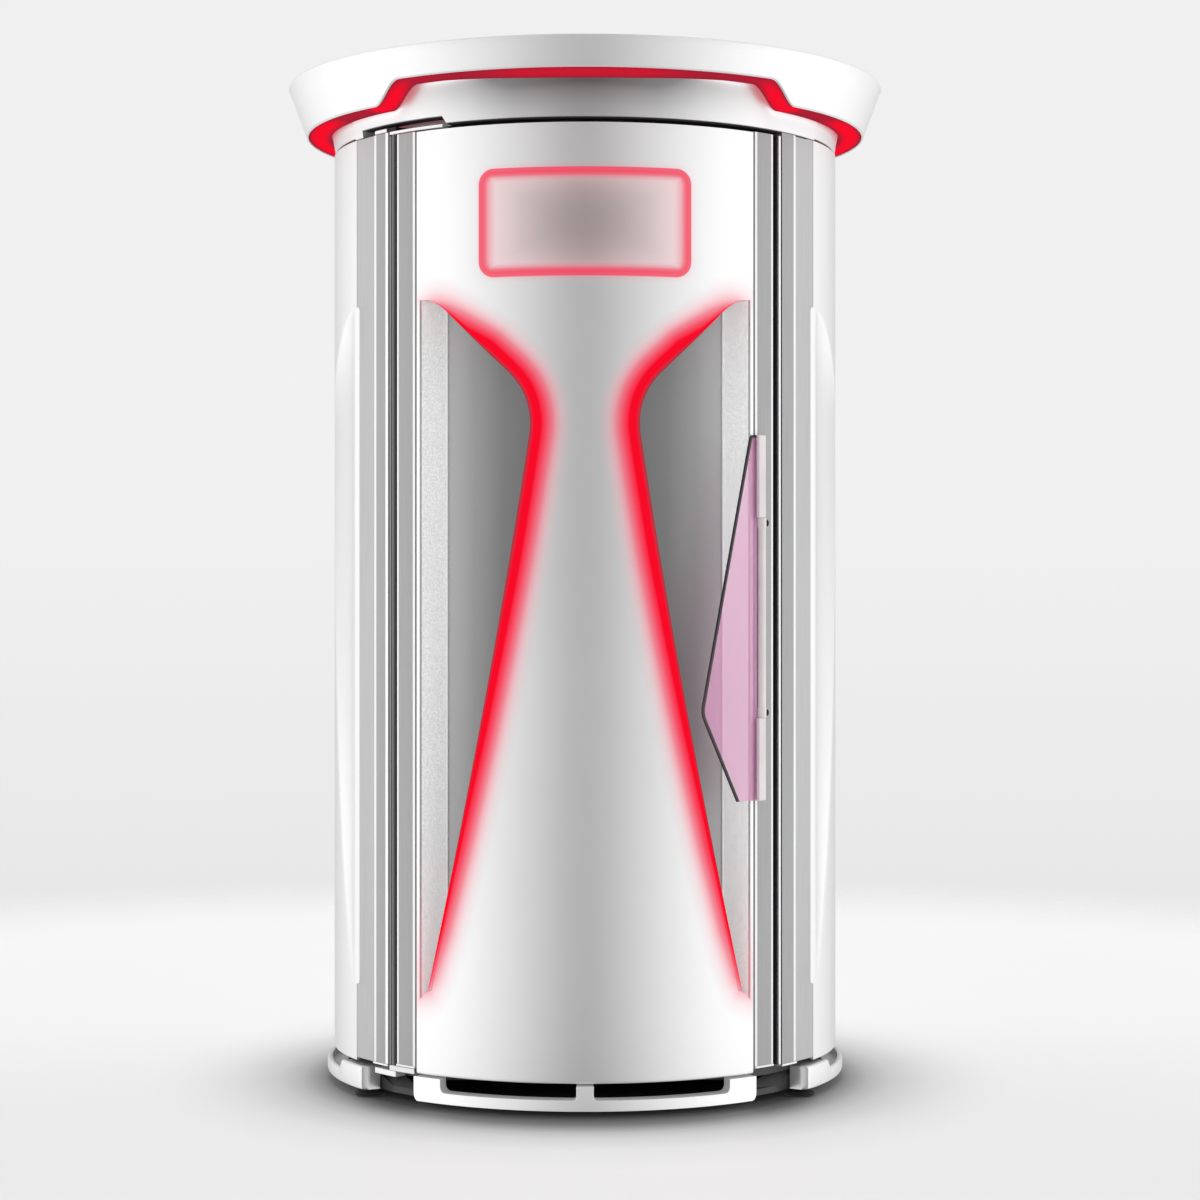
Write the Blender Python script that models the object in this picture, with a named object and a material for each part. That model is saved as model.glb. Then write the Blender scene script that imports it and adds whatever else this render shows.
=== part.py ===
"""Stand-up light booth with a swinging door, in metres, +Z up, its front towards -Y."""
import math

import bmesh
import bpy
from mathutils import Vector

for old in list(bpy.data.objects):
    bpy.data.objects.remove(old)

# Fits and facets
FIT = 0.0003
ARC_STEP = 5.0
COARSE_STEP = 10.0
CUTTER_OVER = 0.010

# Heights above the floor
OVERALL_HEIGHT = 2.300
FOOT_HEIGHT = 0.016
BASE_PLATE_T = 0.014
PLATFORM_TOP = 0.0785
PLATFORM_T = 0.0185
SHELL_BOTTOM = 0.082
DOOR_BOTTOM = 0.084
DOOR_TOP_GAP = 0.009
CANOPY_HEIGHT = 0.156
BUMPER_RAIL_TOP = 0.045
BUMPER_TOP = 0.079
BUMPER_OUT = 0.005
SKIRT_RIM_TOP = 0.050
SKIRT_BLOCK_TOP = 0.070
SKIRT_CHANNEL_Z = 0.032
SKIRT_BEVEL = 0.006
SKIRT_ROUND = 0.004
SKIRT_DRAFT = 0.001

# Plan
BODY_R = 0.587
WALL_DEPTH = 0.132
PANEL_T = 0.012
SHELL_T = 0.008
PLATE_INSET = 0.032
SKIRT_OUT = 0.016
SKIRT_LIP = 0.012
PLATFORM_CUT = 0.103
BASE_RIM_W = 0.020
BASE_RIM_STEP = 0.0005
MAT_T = 0.005
MAT_GAP = 0.010
FOOT_INSET = 0.020
FOOT_R = 0.034
FOOT_SOLE_R = 0.030
FOOT_TOP_R = 0.020
FOOT_SOLE_H = 0.003
FOOT_SIDE_H = 0.008

# Angles from the front, in degrees
PANEL_EDGE = 39.3
DOOR_EDGE = 45.6
POST_FACE = 48.0
POST_END = 52.9
TRIM_END = 60.5
SHELL_END = 150.0
BUMPER_POST = 7.2
BUMPER_MID = 1.8
SKIRT_START = 55.5
SKIRT_BLOCK_END = 63.0
BASE_OPEN_FRONT = 50.0
FOOT_ANGLES = (-58.0, 58.0, -138.0, 138.0)

# Profiles of the frame
PROFILE_WALL = 0.005
POST_SETBACK = 0.0008
TRIM_SETBACK = 0.006
TRIM_T = 0.004
RAIL_HEIGHT = 0.040

# Windows and the hourglass between them
WINDOW_BORDER = 0.016
WINDOW_SIGN_GAP = 0.039
WINDOW_SILL = 0.153
TOP_FLAT = 0.0385
WAIST_HALF = 0.1084
WAIST_DROP = 0.2195
BEND_HALF = 0.2237
BEND_DROP = 0.9585
TIP_WIDTH = 0.020
SHOULDER_ROUND = 0.050
WAIST_ROUND = 0.085
WINDOW_DEPTH = 0.076
WALL_RUN = 0.0164
WALL_T = 0.004
PANE_T = 0.006
WALL_LEAST = 0.008
PANE_LEAST = 0.012
STRIP_T = 0.010
SCOOP_DEPTH = 0.0065
SCOOP_ROUND = 0.060

# Sign panel
SIGN_TOP_GAP = 0.098
SIGN_HEIGHT = 0.233
SIGN_HALF = 0.2336
SIGN_T = 0.004
SIGN_CORNER = 0.026

# Door pivot
PIVOT_ANGLE = -46.6
PIVOT_SETBACK = 0.009
ROD_R = 0.0065
ARM_INNER_ANGLE = -37.5
ARM_OUTER_ANGLE = -47.5
LOW_ARM_GAP = 0.3
ARM_WIDTH = 0.021
TOP_ARM_T = 0.008
LOW_ARM_T = 0.012
BRACKET_END = 45.4
TOP_BRACKET_T = 0.0112
LOW_BRACKET_T = 0.0125
HINGE_NOTCH = (-56.0, -37.5)
HINGE_NOTCH_H = 0.012

# Pull fin on the latch stile
PULL_SET = 0.0209
PULL_TOP = 1.4705
PULL_TIP_Z = 0.866
PULL_BOTTOM = 0.6715
PULL_REACH = 0.1777
PULL_HEAD_REACH = 0.0296
PULL_FOOT_REACH = 0.0711
NOSE_HALF = 0.014
NOSE_OUT = 0.001
NOSE_BACK = 0.003
FIN_T = 0.005
FIN_STAND = 0.0015
FIN_CLEAR = 0.005
CLAMP_HALF = 0.008
CLAMP_DEPTH = 0.016
CLAMP_HEIGHT = 0.181
RABBET = 0.006
PULL_ROD_R = 0.0075
PULL_ROD_SET = 0.001

# Seal and catch
SEAL_T = 0.014
SEAL_DEPTH = 0.030
SEAL_SETBACK = 0.006
CATCH_Z = 1.070
CATCH_HEIGHT = 0.060
CATCH_DEPTH = 0.030
CATCH_INSET = 0.040

# Cabin lining
SHIELD_T = 0.005
SHIELD_GAP = 0.005
LED_PANEL_T = 0.020
CABIN_START = 53.3
BUTTON_Z = 1.150
BUTTON_R = 0.012
BUTTON_STEM_R = 0.008
BUTTON_T = 0.003
BUTTON_EDGE = 0.001
BUTTON_TRAVEL = 0.003
BUTTON_STEM = 0.022

# Canopy
ROOF_T = 0.012
NECK_FLARE = 0.022
NECK_HEIGHT = 0.118
NECK_WALL = 0.004
NECK_FLANGE = 0.018
FASCIA_HEIGHT = 0.113
FASCIA_LOW_OUT = 0.064
FASCIA_TOP_OUT = 0.106
FASCIA_WALL = 0.012
FASCIA_ROUND = 0.008
FASCIA_LIP = 0.035
FASCIA_LIP_T = 0.010
NOTCH_RISE = 0.048
NOTCH_FLAT = 37.0
NOTCH_END = 45.0
LIGHT_RECESS = 0.006
LIGHT_T = 0.008
COVER_SINK = 0.002
COVER_T = 0.010
COVER_MID_R = 0.40
DISC_MID_R = 0.30
NOTCH_SIDE = 0.4

# Exhaust fan and driver
DUCT_R = 0.162
DUCT_WALL = 0.007
GRILLE_HUB_R = 0.020
GRILLE_STEP = 0.013
GRILLE_RINGS = 11
INTAKE_IN = 0.060
INTAKE_OUT = 0.148
MOTOR_R = 0.045
MOTOR_HEIGHT = 0.048
MOTOR_EDGE = 0.004
HUB_R = 0.050
HUB_HEIGHT = 0.030
BLADES = 5
BLADE_R = 0.146
BLADE_HALF = 0.030
BLADE_RISE = 0.012
BLADE_T = 0.003
DRIVER_SIZE = (0.300, 0.120, 0.060)
DRIVER_SETBACK = 0.225

# Rear panel and its services
LOUVRE_HALF = 0.150
LOUVRE_SLOT = 0.012
LOUVRE_PITCH = 0.028
LOUVRE_COUNT = 6
LOUVRE_LOW_Z = 0.330
LOUVRE_HIGH_DROP = 0.3637
LOUVRE_RIB = 1.0
INLET_HALF = 0.060
INLET_BOTTOM = 0.140
INLET_HEIGHT = 0.090
INLET_DEPTH = 0.025
INLET_SINK = 0.004
INLET_GAP = 0.002
SOCKET_SIZE = (0.030, 0.022)
SOCKET_DEPTH = 0.016
SWITCH_SIZE = (0.020, 0.026)
SWITCH_T = 0.006
SWITCH_TILT = 10.0
SWITCH_OFFSET = 0.030
SWITCH_WELL = 0.012
SWITCH_PLAY = 0.0004
SWITCH_ROOM = 0.002

# Derived radii
CABIN_R = BODY_R - WALL_DEPTH
PANEL_IN_R = BODY_R - PANEL_T
PLATE_R = BODY_R - PLATE_INSET
RIM_GAP_R = PLATE_R + 2 * FIT
POST_R = BODY_R - POST_SETBACK
TRIM_R = BODY_R - TRIM_SETBACK
SHIELD_R = CABIN_R + SHIELD_GAP
LED_R = SHIELD_R + SHIELD_T + SHIELD_GAP
FLOOR_R = BODY_R - WINDOW_DEPTH
SKIRT_R = BODY_R + SKIRT_OUT
PLATFORM_FRONT = PLATE_R - PLATFORM_CUT
PIVOT_R = BODY_R - PIVOT_SETBACK

# Derived heights
NECK_BOTTOM = OVERALL_HEIGHT - CANOPY_HEIGHT
DOOR_TOP = NECK_BOTTOM - DOOR_TOP_GAP
BODY_TOP = NECK_BOTTOM - FIT
ROOF_BOTTOM = NECK_BOTTOM + FIT
ROOF_TOP = ROOF_BOTTOM + ROOF_T
BASE_BOTTOM = FOOT_HEIGHT + FIT
BASE_PLATE_TOP = BASE_BOTTOM + BASE_PLATE_T
PLATFORM_BOTTOM = PLATFORM_TOP - PLATFORM_T
LINING_BOTTOM = PLATFORM_TOP + FIT
LINING_TOP = ROOF_BOTTOM - FIT
CANOPY_LOW = OVERALL_HEIGHT - FASCIA_HEIGHT
NECK_TOP = NECK_BOTTOM + NECK_HEIGHT
COVER_TOP = OVERALL_HEIGHT - COVER_SINK
COVER_BOTTOM = COVER_TOP - COVER_T
SIGN_BOTTOM = DOOR_TOP - SIGN_TOP_GAP - SIGN_HEIGHT
WINDOW_TOP = SIGN_BOTTOM - WINDOW_SIGN_GAP
WINDOW_BOTTOM = DOOR_BOTTOM + WINDOW_SILL
WAIST_Z = WINDOW_TOP - WAIST_DROP
BEND_Z = WINDOW_TOP - BEND_DROP
LOUVRE_HIGH_Z = BODY_TOP - LOUVRE_HIGH_DROP
WINDOW_HALF = math.radians(PANEL_EDGE) * BODY_R - WINDOW_BORDER
WALL_FOOT = WINDOW_HALF - WALL_RUN


def material(name, colour, roughness, metallic=0.0):
    made = bpy.data.materials.new(name)
    made.use_nodes = True
    shader = made.node_tree.nodes["Principled BSDF"]
    shader.inputs["Base Color"].default_value = (*colour, 1.0)
    shader.inputs["Roughness"].default_value = roughness
    shader.inputs["Metallic"].default_value = metallic
    return made


WHITE = material("white_gloss", (0.86, 0.86, 0.86), 0.25)
SILVER = material("brushed_aluminium", (0.55, 0.55, 0.56), 0.35, 1.0)
STEEL = material("steel", (0.62, 0.62, 0.63), 0.3, 1.0)
BLACK = material("black_rubber", (0.02, 0.02, 0.02), 0.8)
CHARCOAL = material("charcoal_plastic", (0.06, 0.06, 0.065), 0.5)
GREY = material("grey_panel", (0.30, 0.30, 0.31), 0.4)
CLEAR = material("clear_acrylic", (0.80, 0.82, 0.84), 0.08)
FROST = material("frosted_acrylic", (0.75, 0.75, 0.76), 0.45)
RED = material("red_light", (0.85, 0.02, 0.05), 0.3)


# General helpers
def polar(radius, angle, z):
    turn = math.radians(angle)
    return Vector((radius * math.sin(turn), -radius * math.cos(turn), z))


def spread(length, radius=BODY_R):
    """The angle that an arc length takes at a radius, in degrees."""
    return math.degrees(length / radius)


def inscribed(radius, step):
    """The least radius of a faceted arc's sides."""
    return radius * math.cos(math.radians(step) / 2)


def arc_steps(start, end, step=ARC_STEP):
    """Angles from start to end by way of every whole step between them."""
    inner = [i * step for i in range(math.ceil(start / step), math.floor(end / step) + 1)]
    return [start] + [a for a in inner if a - start > 0.2 and end - a > 0.2] + [end]


def add_object(name, bm, look):
    bmesh.ops.recalc_face_normals(bm, faces=bm.faces)
    mesh = bpy.data.meshes.new(name)
    bm.to_mesh(mesh)
    bm.free()
    mesh.materials.append(look)
    mesh.shade_smooth()
    mesh.set_sharp_from_angle(angle=math.radians(28))
    made = bpy.data.objects.new(name, mesh)
    bpy.context.scene.collection.objects.link(made)
    return made


def sweep(name, sections, look, closed=False):
    """A solid through matching loops of points, capped at both ends unless closed."""
    bm = bmesh.new()
    loops = [[bm.verts.new(p) for p in section] for section in sections]
    pairs = list(zip(loops, loops[1:]))
    if closed:
        pairs.append((loops[-1], loops[0]))
    else:
        bm.faces.new(loops[0])
        bm.faces.new(loops[-1])
    for low, high in pairs:
        for i in range(len(low)):
            j = (i + 1) % len(low)
            bm.faces.new((low[i], low[j], high[j], high[i]))
    return add_object(name, bm, look)


def prism(name, outline, bottom, top, look):
    """A plan outline of (x, y) points raised between two heights."""
    sections = [[Vector((p[0], p[1], z)) for p in outline] for z in (bottom, top)]
    return sweep(name, sections, look)


def turned(name, profile, centre, axis, look, sides=24):
    """A solid of revolution from (radius, distance along the axis) points."""
    axis = Vector(axis).normalized()
    side = axis.orthogonal().normalized()
    other = axis.cross(side)
    turns = [2 * math.pi * i / sides for i in range(sides)]
    around = [side * math.cos(t) + other * math.sin(t) for t in turns]
    sections = [[Vector(centre) + axis * h + d * r for d in around] for r, h in profile]
    return sweep(name, sections, look)


def grid(rows, keep=None):
    """Places and cells of a grid given as rows. Neighbours that coincide become one place."""
    index = {}
    places = []

    def number(place):
        key = (round(place[0], 7), round(place[1], 7))
        if key not in index:
            index[key] = len(places)
            places.append(place)
        return index[key]

    cells = []
    for r, (low, high) in enumerate(zip(rows, rows[1:])):
        for c in range(len(low) - 1):
            if keep is None or keep(r, c):
                corners = (low[c], low[c + 1], high[c + 1], high[c])
                ring = list(dict.fromkeys(number(p) for p in corners))
                if len(ring) > 2:
                    cells.append(ring)
    return places, cells


def slab(name, front, back, cells, look):
    """A closed plate between two surfaces with the same cells, walled along their free edges."""
    bm = bmesh.new()
    near = [bm.verts.new(p) for p in front]
    far = [bm.verts.new(p) for p in back]
    uses = {}
    for cell in cells:
        bm.faces.new([near[i] for i in cell])
        bm.faces.new([far[i] for i in reversed(cell)])
        for a, b in zip(cell, cell[1:] + cell[:1]):
            uses.setdefault(frozenset((a, b)), []).append((a, b))
    for edges in uses.values():
        if len(edges) == 1:
            a, b = edges[0]
            bm.faces.new((near[b], near[a], far[a], far[b]))
    return add_object(name, bm, look)


def curved_plate(name, rows, outer, inner, look, keep=None):
    """A plate bent round the booth's axis from rows of (angle, height) places."""
    places, cells = grid(rows, keep)
    front = [polar(outer(*p) if callable(outer) else outer, *p) for p in places]
    back = [polar(inner(*p) if callable(inner) else inner, *p) for p in places]
    return slab(name, front, back, cells, look)


def disc_rows(radii, step):
    """Rows of (x, y) places on rings about the axis."""
    count = round(360 / step)
    angles = [i * step for i in range(count)] + [0.0]
    return [[tuple(polar(r, a, 0)[:2]) for a in angles] for r in radii]


def flat_disc(name, radii, step, bottom, top, look, keep=None):
    """A disc of rings, whose top can be a function of the place."""
    places, cells = grid(disc_rows(radii, step), keep)
    front = [Vector((x, y, top(x, y) if callable(top) else top)) for x, y in places]
    back = [Vector((x, y, bottom)) for x, y in places]
    return slab(name, front, back, cells, look)


def polar_outline(points):
    return [tuple(polar(r, a, 0)[:2]) for r, a in points]


def channel(name, start, end, open_end, bottom, top, look):
    """A C-shaped upright between two angles, open on the side of one of them."""
    shut_end = start if open_end == end else end
    wall = math.copysign(spread(PROFILE_WALL), open_end - shut_end)
    points = [
        (POST_R, shut_end),
        (POST_R, open_end),
        (POST_R - PROFILE_WALL, open_end),
        (POST_R - PROFILE_WALL, shut_end + wall),
        (CABIN_R + PROFILE_WALL, shut_end + wall),
        (CABIN_R + PROFILE_WALL, open_end),
        (CABIN_R, open_end),
        (CABIN_R, shut_end),
    ]
    return prism(name, polar_outline(points), bottom, top, look)


def cut(target, cutter):
    """Takes a hidden cutter out of a piece."""
    cutter.hide_render = True
    cutter.display_type = "WIRE"
    step = target.modifiers.new("cut_" + cutter.name, "BOOLEAN")
    step.operation = "DIFFERENCE"
    step.solver = "EXACT"
    step.object = cutter


def pivot(name, place, pieces):
    """Hangs the pieces on an empty that lies on their joint's axis."""
    empty = bpy.data.objects.new(name, None)
    empty.location = place
    bpy.context.scene.collection.objects.link(empty)
    bpy.context.view_layer.update()
    for piece in pieces:
        piece.parent = empty
        piece.matrix_parent_inverse = empty.matrix_world.inverted()
    return empty


def curve_points(a, b, c, count):
    """Points of a quadratic curve after its start."""
    shares = [(i + 1) / count for i in range(count)]
    return [a * (1 - t) ** 2 + b * (2 * t * (1 - t)) + c * t * t for t in shares]


def window_edge():
    """The hourglass edge from the window's top to its foot, as (half width along the skin, height)."""
    top = Vector((WINDOW_HALF, WINDOW_TOP))
    shoulder = Vector((WINDOW_HALF - TOP_FLAT, WINDOW_TOP))
    waist = Vector((WAIST_HALF, WAIST_Z))
    bend = Vector((BEND_HALF, BEND_Z))
    tip = Vector((WINDOW_HALF - TIP_WIDTH, WINDOW_BOTTOM + TIP_WIDTH))
    slope = (waist - shoulder).normalized()
    fall = (bend - waist).normalized()
    shoulder_end = shoulder + slope * SHOULDER_ROUND
    waist_start = waist - slope * WAIST_ROUND
    waist_end = waist + fall * WAIST_ROUND
    points = [top]
    points += curve_points(top, shoulder, shoulder_end, 3)
    points += [shoulder_end.lerp(waist_start, k / 4) for k in (1, 2, 3, 4)]
    points += curve_points(waist_start, waist, waist_end, 6)
    points += curve_points(waist_end, bend, tip, 8)
    points += [Vector((WINDOW_HALF, WINDOW_BOTTOM))]
    return points


EDGE = window_edge()


def strip_width(i):
    """The light strip's width along the skin at an edge point, so that it keeps its thickness on a slope."""
    step = EDGE[min(i + 1, len(EDGE) - 1)] - EDGE[max(i - 1, 0)]
    lean = abs(step.x) / max(abs(step.y), 1e-6)
    return STRIP_T * min(math.sqrt(1 + lean * lean), 1.8)


STRIP_ROWS = [i for i, p in enumerate(EDGE) if WINDOW_HALF - p.x > TIP_WIDTH * 0.9]


# Base
def build_base():
    rim = PLATE_R - BASE_RIM_W
    rim_edge = rim + BASE_RIM_STEP

    def pan_top(x, y):
        at_rim = math.hypot(x, y) > rim + BASE_RIM_STEP / 2
        open_front = abs(math.degrees(math.atan2(x, -y))) < BASE_OPEN_FRONT
        return PLATFORM_BOTTOM - FIT if at_rim and not open_front else BASE_PLATE_TOP

    radii = (0, DISC_MID_R, rim, rim_edge, PLATE_R)
    flat_disc("base_plate", radii, COARSE_STEP, BASE_BOTTOM, pan_top, SILVER)

    side = math.degrees(math.acos(PLATFORM_FRONT / PLATE_R))
    plan = polar_outline([(PLATE_R, a) for a in arc_steps(side, 360 - side)])
    prism("platform", plan, PLATFORM_BOTTOM, PLATFORM_TOP, GREY)
    mat = polar_outline([(CABIN_R - MAT_GAP, a) for a in arc_steps(0, 360 - COARSE_STEP, COARSE_STEP)])
    prism("floor_mat", mat, LINING_BOTTOM, LINING_BOTTOM + MAT_T, BLACK)

    for angle in FOOT_ANGLES:
        end = "front" if abs(angle) < 90 else "rear"
        hand = "left" if angle < 0 else "right"
        pad = ((FOOT_SOLE_R, 0), (FOOT_R, FOOT_SOLE_H), (FOOT_R, FOOT_SIDE_H), (FOOT_TOP_R, FOOT_HEIGHT))
        turned(f"foot_{end}_{hand}", pad, polar(BODY_R - FOOT_INSET, angle, 0), (0, 0, 1), BLACK)

    build_skirt("base_skirt_right", 1)
    build_skirt("base_skirt_left", -1)
    build_bumper()


def build_skirt(name, hand):
    """A base lobe: a raised block at its front end, then a low rim with a channel behind it."""
    sections = []
    for angle in arc_steps(SKIRT_START, 180 - spread(FIT)):
        low = angle > SKIRT_BLOCK_END
        rim_top = SKIRT_RIM_TOP if low else SKIRT_BLOCK_TOP
        inner_top = SKIRT_CHANNEL_Z if low else SKIRT_BLOCK_TOP - SKIRT_DRAFT
        loop = (
            (RIM_GAP_R, BASE_BOTTOM),
            (SKIRT_R - SKIRT_BEVEL, BASE_BOTTOM),
            (SKIRT_R, BASE_BOTTOM + SKIRT_BEVEL),
            (SKIRT_R, rim_top - SKIRT_ROUND),
            (SKIRT_R - SKIRT_ROUND, rim_top),
            (SKIRT_R - SKIRT_LIP, rim_top),
            (SKIRT_R - SKIRT_LIP - SKIRT_DRAFT, inner_top),
            (RIM_GAP_R, inner_top),
        )
        sections.append([polar(r, hand * angle, z) for r, z in loop])
    return sweep(name, sections, WHITE)


def build_bumper():
    """The slotted bumper under the door: a low rail with two end posts and a middle post."""
    slot_end = PANEL_EDGE - BUMPER_POST
    half = arc_steps(BUMPER_MID, slot_end) + arc_steps(slot_end, PANEL_EDGE)[1:]
    angles = [-a for a in reversed(half)] + half
    rows = [[(a, z) for a in angles] for z in (BASE_BOTTOM, BUMPER_RAIL_TOP, BUMPER_TOP)]

    def keep(r, c):
        middle = abs(angles[c] + angles[c + 1]) / 2
        return r == 0 or not BUMPER_MID < middle < slot_end

    curved_plate("front_bumper", rows, BODY_R + BUMPER_OUT, RIM_GAP_R, WHITE, keep)


# Frame and skin
def build_frame():
    channel("frame_post_hinge", -POST_FACE, -POST_END, -POST_END, LINING_BOTTOM, BODY_TOP, SILVER)
    latch = channel("frame_post_latch", POST_FACE, POST_END, POST_END, LINING_BOTTOM, BODY_TOP, SILVER)
    gap = spread(FIT)
    for hand, side in ((-1, "left"), (1, "right")):
        start, end = hand * (POST_END + gap), hand * TRIM_END
        back = TRIM_R - TRIM_T
        band = ((TRIM_R, start), (TRIM_R, end), (back, end), (back, start))
        prism(f"side_trim_{side}", polar_outline(band), SHELL_BOTTOM, BODY_TOP, SILVER)
        build_shell(f"side_shell_{side}", hand)
    build_rear_panel()
    return latch


def scoop_depth(angle, i):
    """How far the side shell is pressed in at an edge point's height."""
    width = spread(WINDOW_HALF - EDGE[i].x)
    inside = (TRIM_END + width - abs(angle)) / spread(SCOOP_ROUND)
    share = max(0.0, min(1.0, inside))
    return SCOOP_DEPTH * share * share * (3 - 2 * share)


def build_shell(name, hand):
    """A side shell with a shallow D-shaped scoop that starts at its front edge."""
    start = TRIM_END + spread(FIT)
    end = SHELL_END - spread(FIT)
    last = len(EDGE) - 1
    picks = [0, 2] + list(range(3, last - 1, 2)) + [last - 1, last]
    depth_at = {}
    rows = []
    heights = [(BODY_TOP, 0)] + [(EDGE[i].y, i) for i in picks] + [(SHELL_BOTTOM, 0)]
    for z, i in heights:
        width = spread(WINDOW_HALF - EDGE[i].x)
        ramp = min(width, spread(SCOOP_ROUND))
        angles = [start, TRIM_END + max(width - ramp, 0.3), TRIM_END + max(width - ramp / 2, 0.6)]
        angles += [TRIM_END + max(width, 0.9)]
        angles += [angles[3] + (end - angles[3]) * k / 9 for k in range(1, 10)]
        for a in angles:
            depth_at[(round(hand * a, 6), round(z, 6))] = scoop_depth(a, i)
        rows.append([(hand * a, z) for a in angles])

    def skin(inset):
        return lambda a, z: BODY_R - inset - depth_at[(round(a, 6), round(z, 6))]

    return curved_plate(name, rows, skin(0.0), skin(SHELL_T), WHITE)


def build_rear_panel():
    """The rear panel, with two louvre fields and an opening for the inlet plate."""
    half = 180 - SHELL_END
    slot = spread(LOUVRE_HALF)
    inlet = spread(INLET_HALF + INLET_GAP)
    side = [-half, -(half + slot) / 2, -slot, -(slot + inlet) / 2, -inlet]
    angles = side + [-LOUVRE_RIB, LOUVRE_RIB] + [-a for a in reversed(side)]
    heights = [SHELL_BOTTOM, INLET_BOTTOM - FIT, INLET_BOTTOM + INLET_HEIGHT + FIT]
    slot_rows = []
    for field in (LOUVRE_LOW_Z, LOUVRE_HIGH_Z):
        for k in range(LOUVRE_COUNT):
            slot_rows.append(len(heights))
            heights += [field + k * LOUVRE_PITCH, field + k * LOUVRE_PITCH + LOUVRE_SLOT]
    heights.append(BODY_TOP)
    rows = [[(180 + a, z) for a in angles] for z in heights]
    inlet_cells = (4, 5, 6)
    louvre_cells = (2, 3, 4, 6, 7, 8)

    def keep(r, c):
        if r == 1:
            return c not in inlet_cells
        return not (r in slot_rows and c in louvre_cells)

    curved_plate("rear_panel", rows, BODY_R, BODY_R - SHELL_T, WHITE, keep)


def build_services():
    """The inlet plate in the rear panel's opening, with its socket, and the main switch in its well."""
    face = BODY_R - INLET_SINK
    back = face - INLET_DEPTH
    top = INLET_BOTTOM + INLET_HEIGHT
    plan = [(-INLET_HALF, back), (INLET_HALF, back), (INLET_HALF, face), (-INLET_HALF, face)]
    plate = prism("power_inlet", plan, INLET_BOTTOM, top, CHARCOAL)
    mid = INLET_BOTTOM + INLET_HEIGHT / 2
    wide, high = SOCKET_SIZE
    left, right = -SWITCH_OFFSET - wide / 2, -SWITCH_OFFSET + wide / 2
    deep, over = face - SOCKET_DEPTH, face + CUTTER_OVER
    hole = [(left, deep), (right, deep), (right, over), (left, over)]
    cut(plate, prism("cutter_socket", hole, mid - high / 2, mid + high / 2, CHARCOAL))

    wide, high = SWITCH_SIZE
    left, right = SWITCH_OFFSET - wide / 2, SWITCH_OFFSET + wide / 2
    deep, play = face - SWITCH_WELL, SWITCH_PLAY
    well = [(left - play, deep), (right + play, deep), (right + play, over), (left - play, over)]
    reach = high / 2 + SWITCH_ROOM
    cut(plate, prism("cutter_switch", well, mid - reach, mid + reach, CHARCOAL))
    hinge = Vector((SWITCH_OFFSET, face - SWITCH_T / 2, mid))
    tilt = math.radians(SWITCH_TILT)
    along = Vector((0, math.sin(tilt), math.cos(tilt)))
    out = Vector((0, math.cos(tilt), -math.sin(tilt)))
    corners = ((-1, -1), (1, -1), (1, 1), (-1, 1))
    loop = [hinge + along * (a * high / 2) + out * (b * SWITCH_T / 2) for a, b in corners]
    sections = [[Vector((x, p.y, p.z)) for p in loop] for x in (left, right)]
    rocker = sweep("main_switch", sections, RED)
    pivot("main_switch_axis", hinge, [rocker])


# Door
def build_door():
    pieces = [build_door_panel()]
    low, high = DOOR_BOTTOM, DOOR_TOP
    inner = PANEL_EDGE + spread(FIT)
    pieces.append(channel("door_stile_hinge", -DOOR_EDGE, -inner, -inner, low, high, SILVER))
    pieces.append(channel("door_stile_latch", DOOR_EDGE, inner, inner, low, high, SILVER))
    pieces.append(build_rail("door_bottom_rail", low, low + RAIL_HEIGHT))
    pieces.append(build_rail("door_top_rail", high - RAIL_HEIGHT, high))
    for hand, side in ((-1, "left"), (1, "right")):
        pieces.append(build_window_wall(f"window_wall_{side}", hand))
        pieces.append(build_window_pane(f"window_pane_{side}", hand))
        pieces.append(build_window_lip(f"window_lip_{side}", hand))
        pieces.append(build_light_strip(f"light_strip_{side}", hand))
    pieces.append(build_sign())
    span = (-PANEL_EDGE, PANEL_EDGE)
    bottom, top = low + RAIL_HEIGHT + FIT, high - RAIL_HEIGHT - FIT
    pieces.append(lining("door_led_panel", LED_R, LED_PANEL_T, span, 3, bottom, top, GREY))
    pieces.append(lining("door_shield", SHIELD_R, SHIELD_T, span, 3, bottom, top, CLEAR))
    pieces += build_pull()
    pieces += build_hinge()
    place = polar(PIVOT_R, PIVOT_ANGLE, DOOR_BOTTOM)
    pivot("door_axis", place, pieces)


def build_door_panel():
    """The white door skin with its two D-shaped openings."""
    edge = spread(EDGE[0].x)
    columns = 10
    rows = []

    def row(half, z):
        middle = [(half * (2 * k / columns - 1), z) for k in range(columns + 1)]
        return [(-PANEL_EDGE, z), (-edge, z)] + middle + [(edge, z), (PANEL_EDGE, z)]

    rows.append(row(edge, DOOR_TOP))
    for i, point in enumerate(EDGE):
        back = strip_width(i) + 2 * FIT if i in STRIP_ROWS else 0.0
        rows.append(row(spread(point.x - back), point.y))
    rows.append(row(edge, DOOR_BOTTOM))
    openings = (1, columns + 2)
    return curved_plate("door_panel", rows, BODY_R, PANEL_IN_R, WHITE, lambda r, c: c not in openings)


def build_rail(name, bottom, top):
    """A bent rail behind the door skin, from stile to stile."""
    facet = 2 * spread(WINDOW_HALF) / 10
    outer = inscribed(PANEL_IN_R, facet + 0.1) - FIT
    sections = []
    for angle in arc_steps(-PANEL_EDGE, PANEL_EDGE, facet):
        loop = ((SHIELD_R, bottom), (outer, bottom), (outer, top), (SHIELD_R, top))
        sections.append([polar(r, angle, z) for r, z in loop])
    return sweep(name, sections, SILVER)


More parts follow.
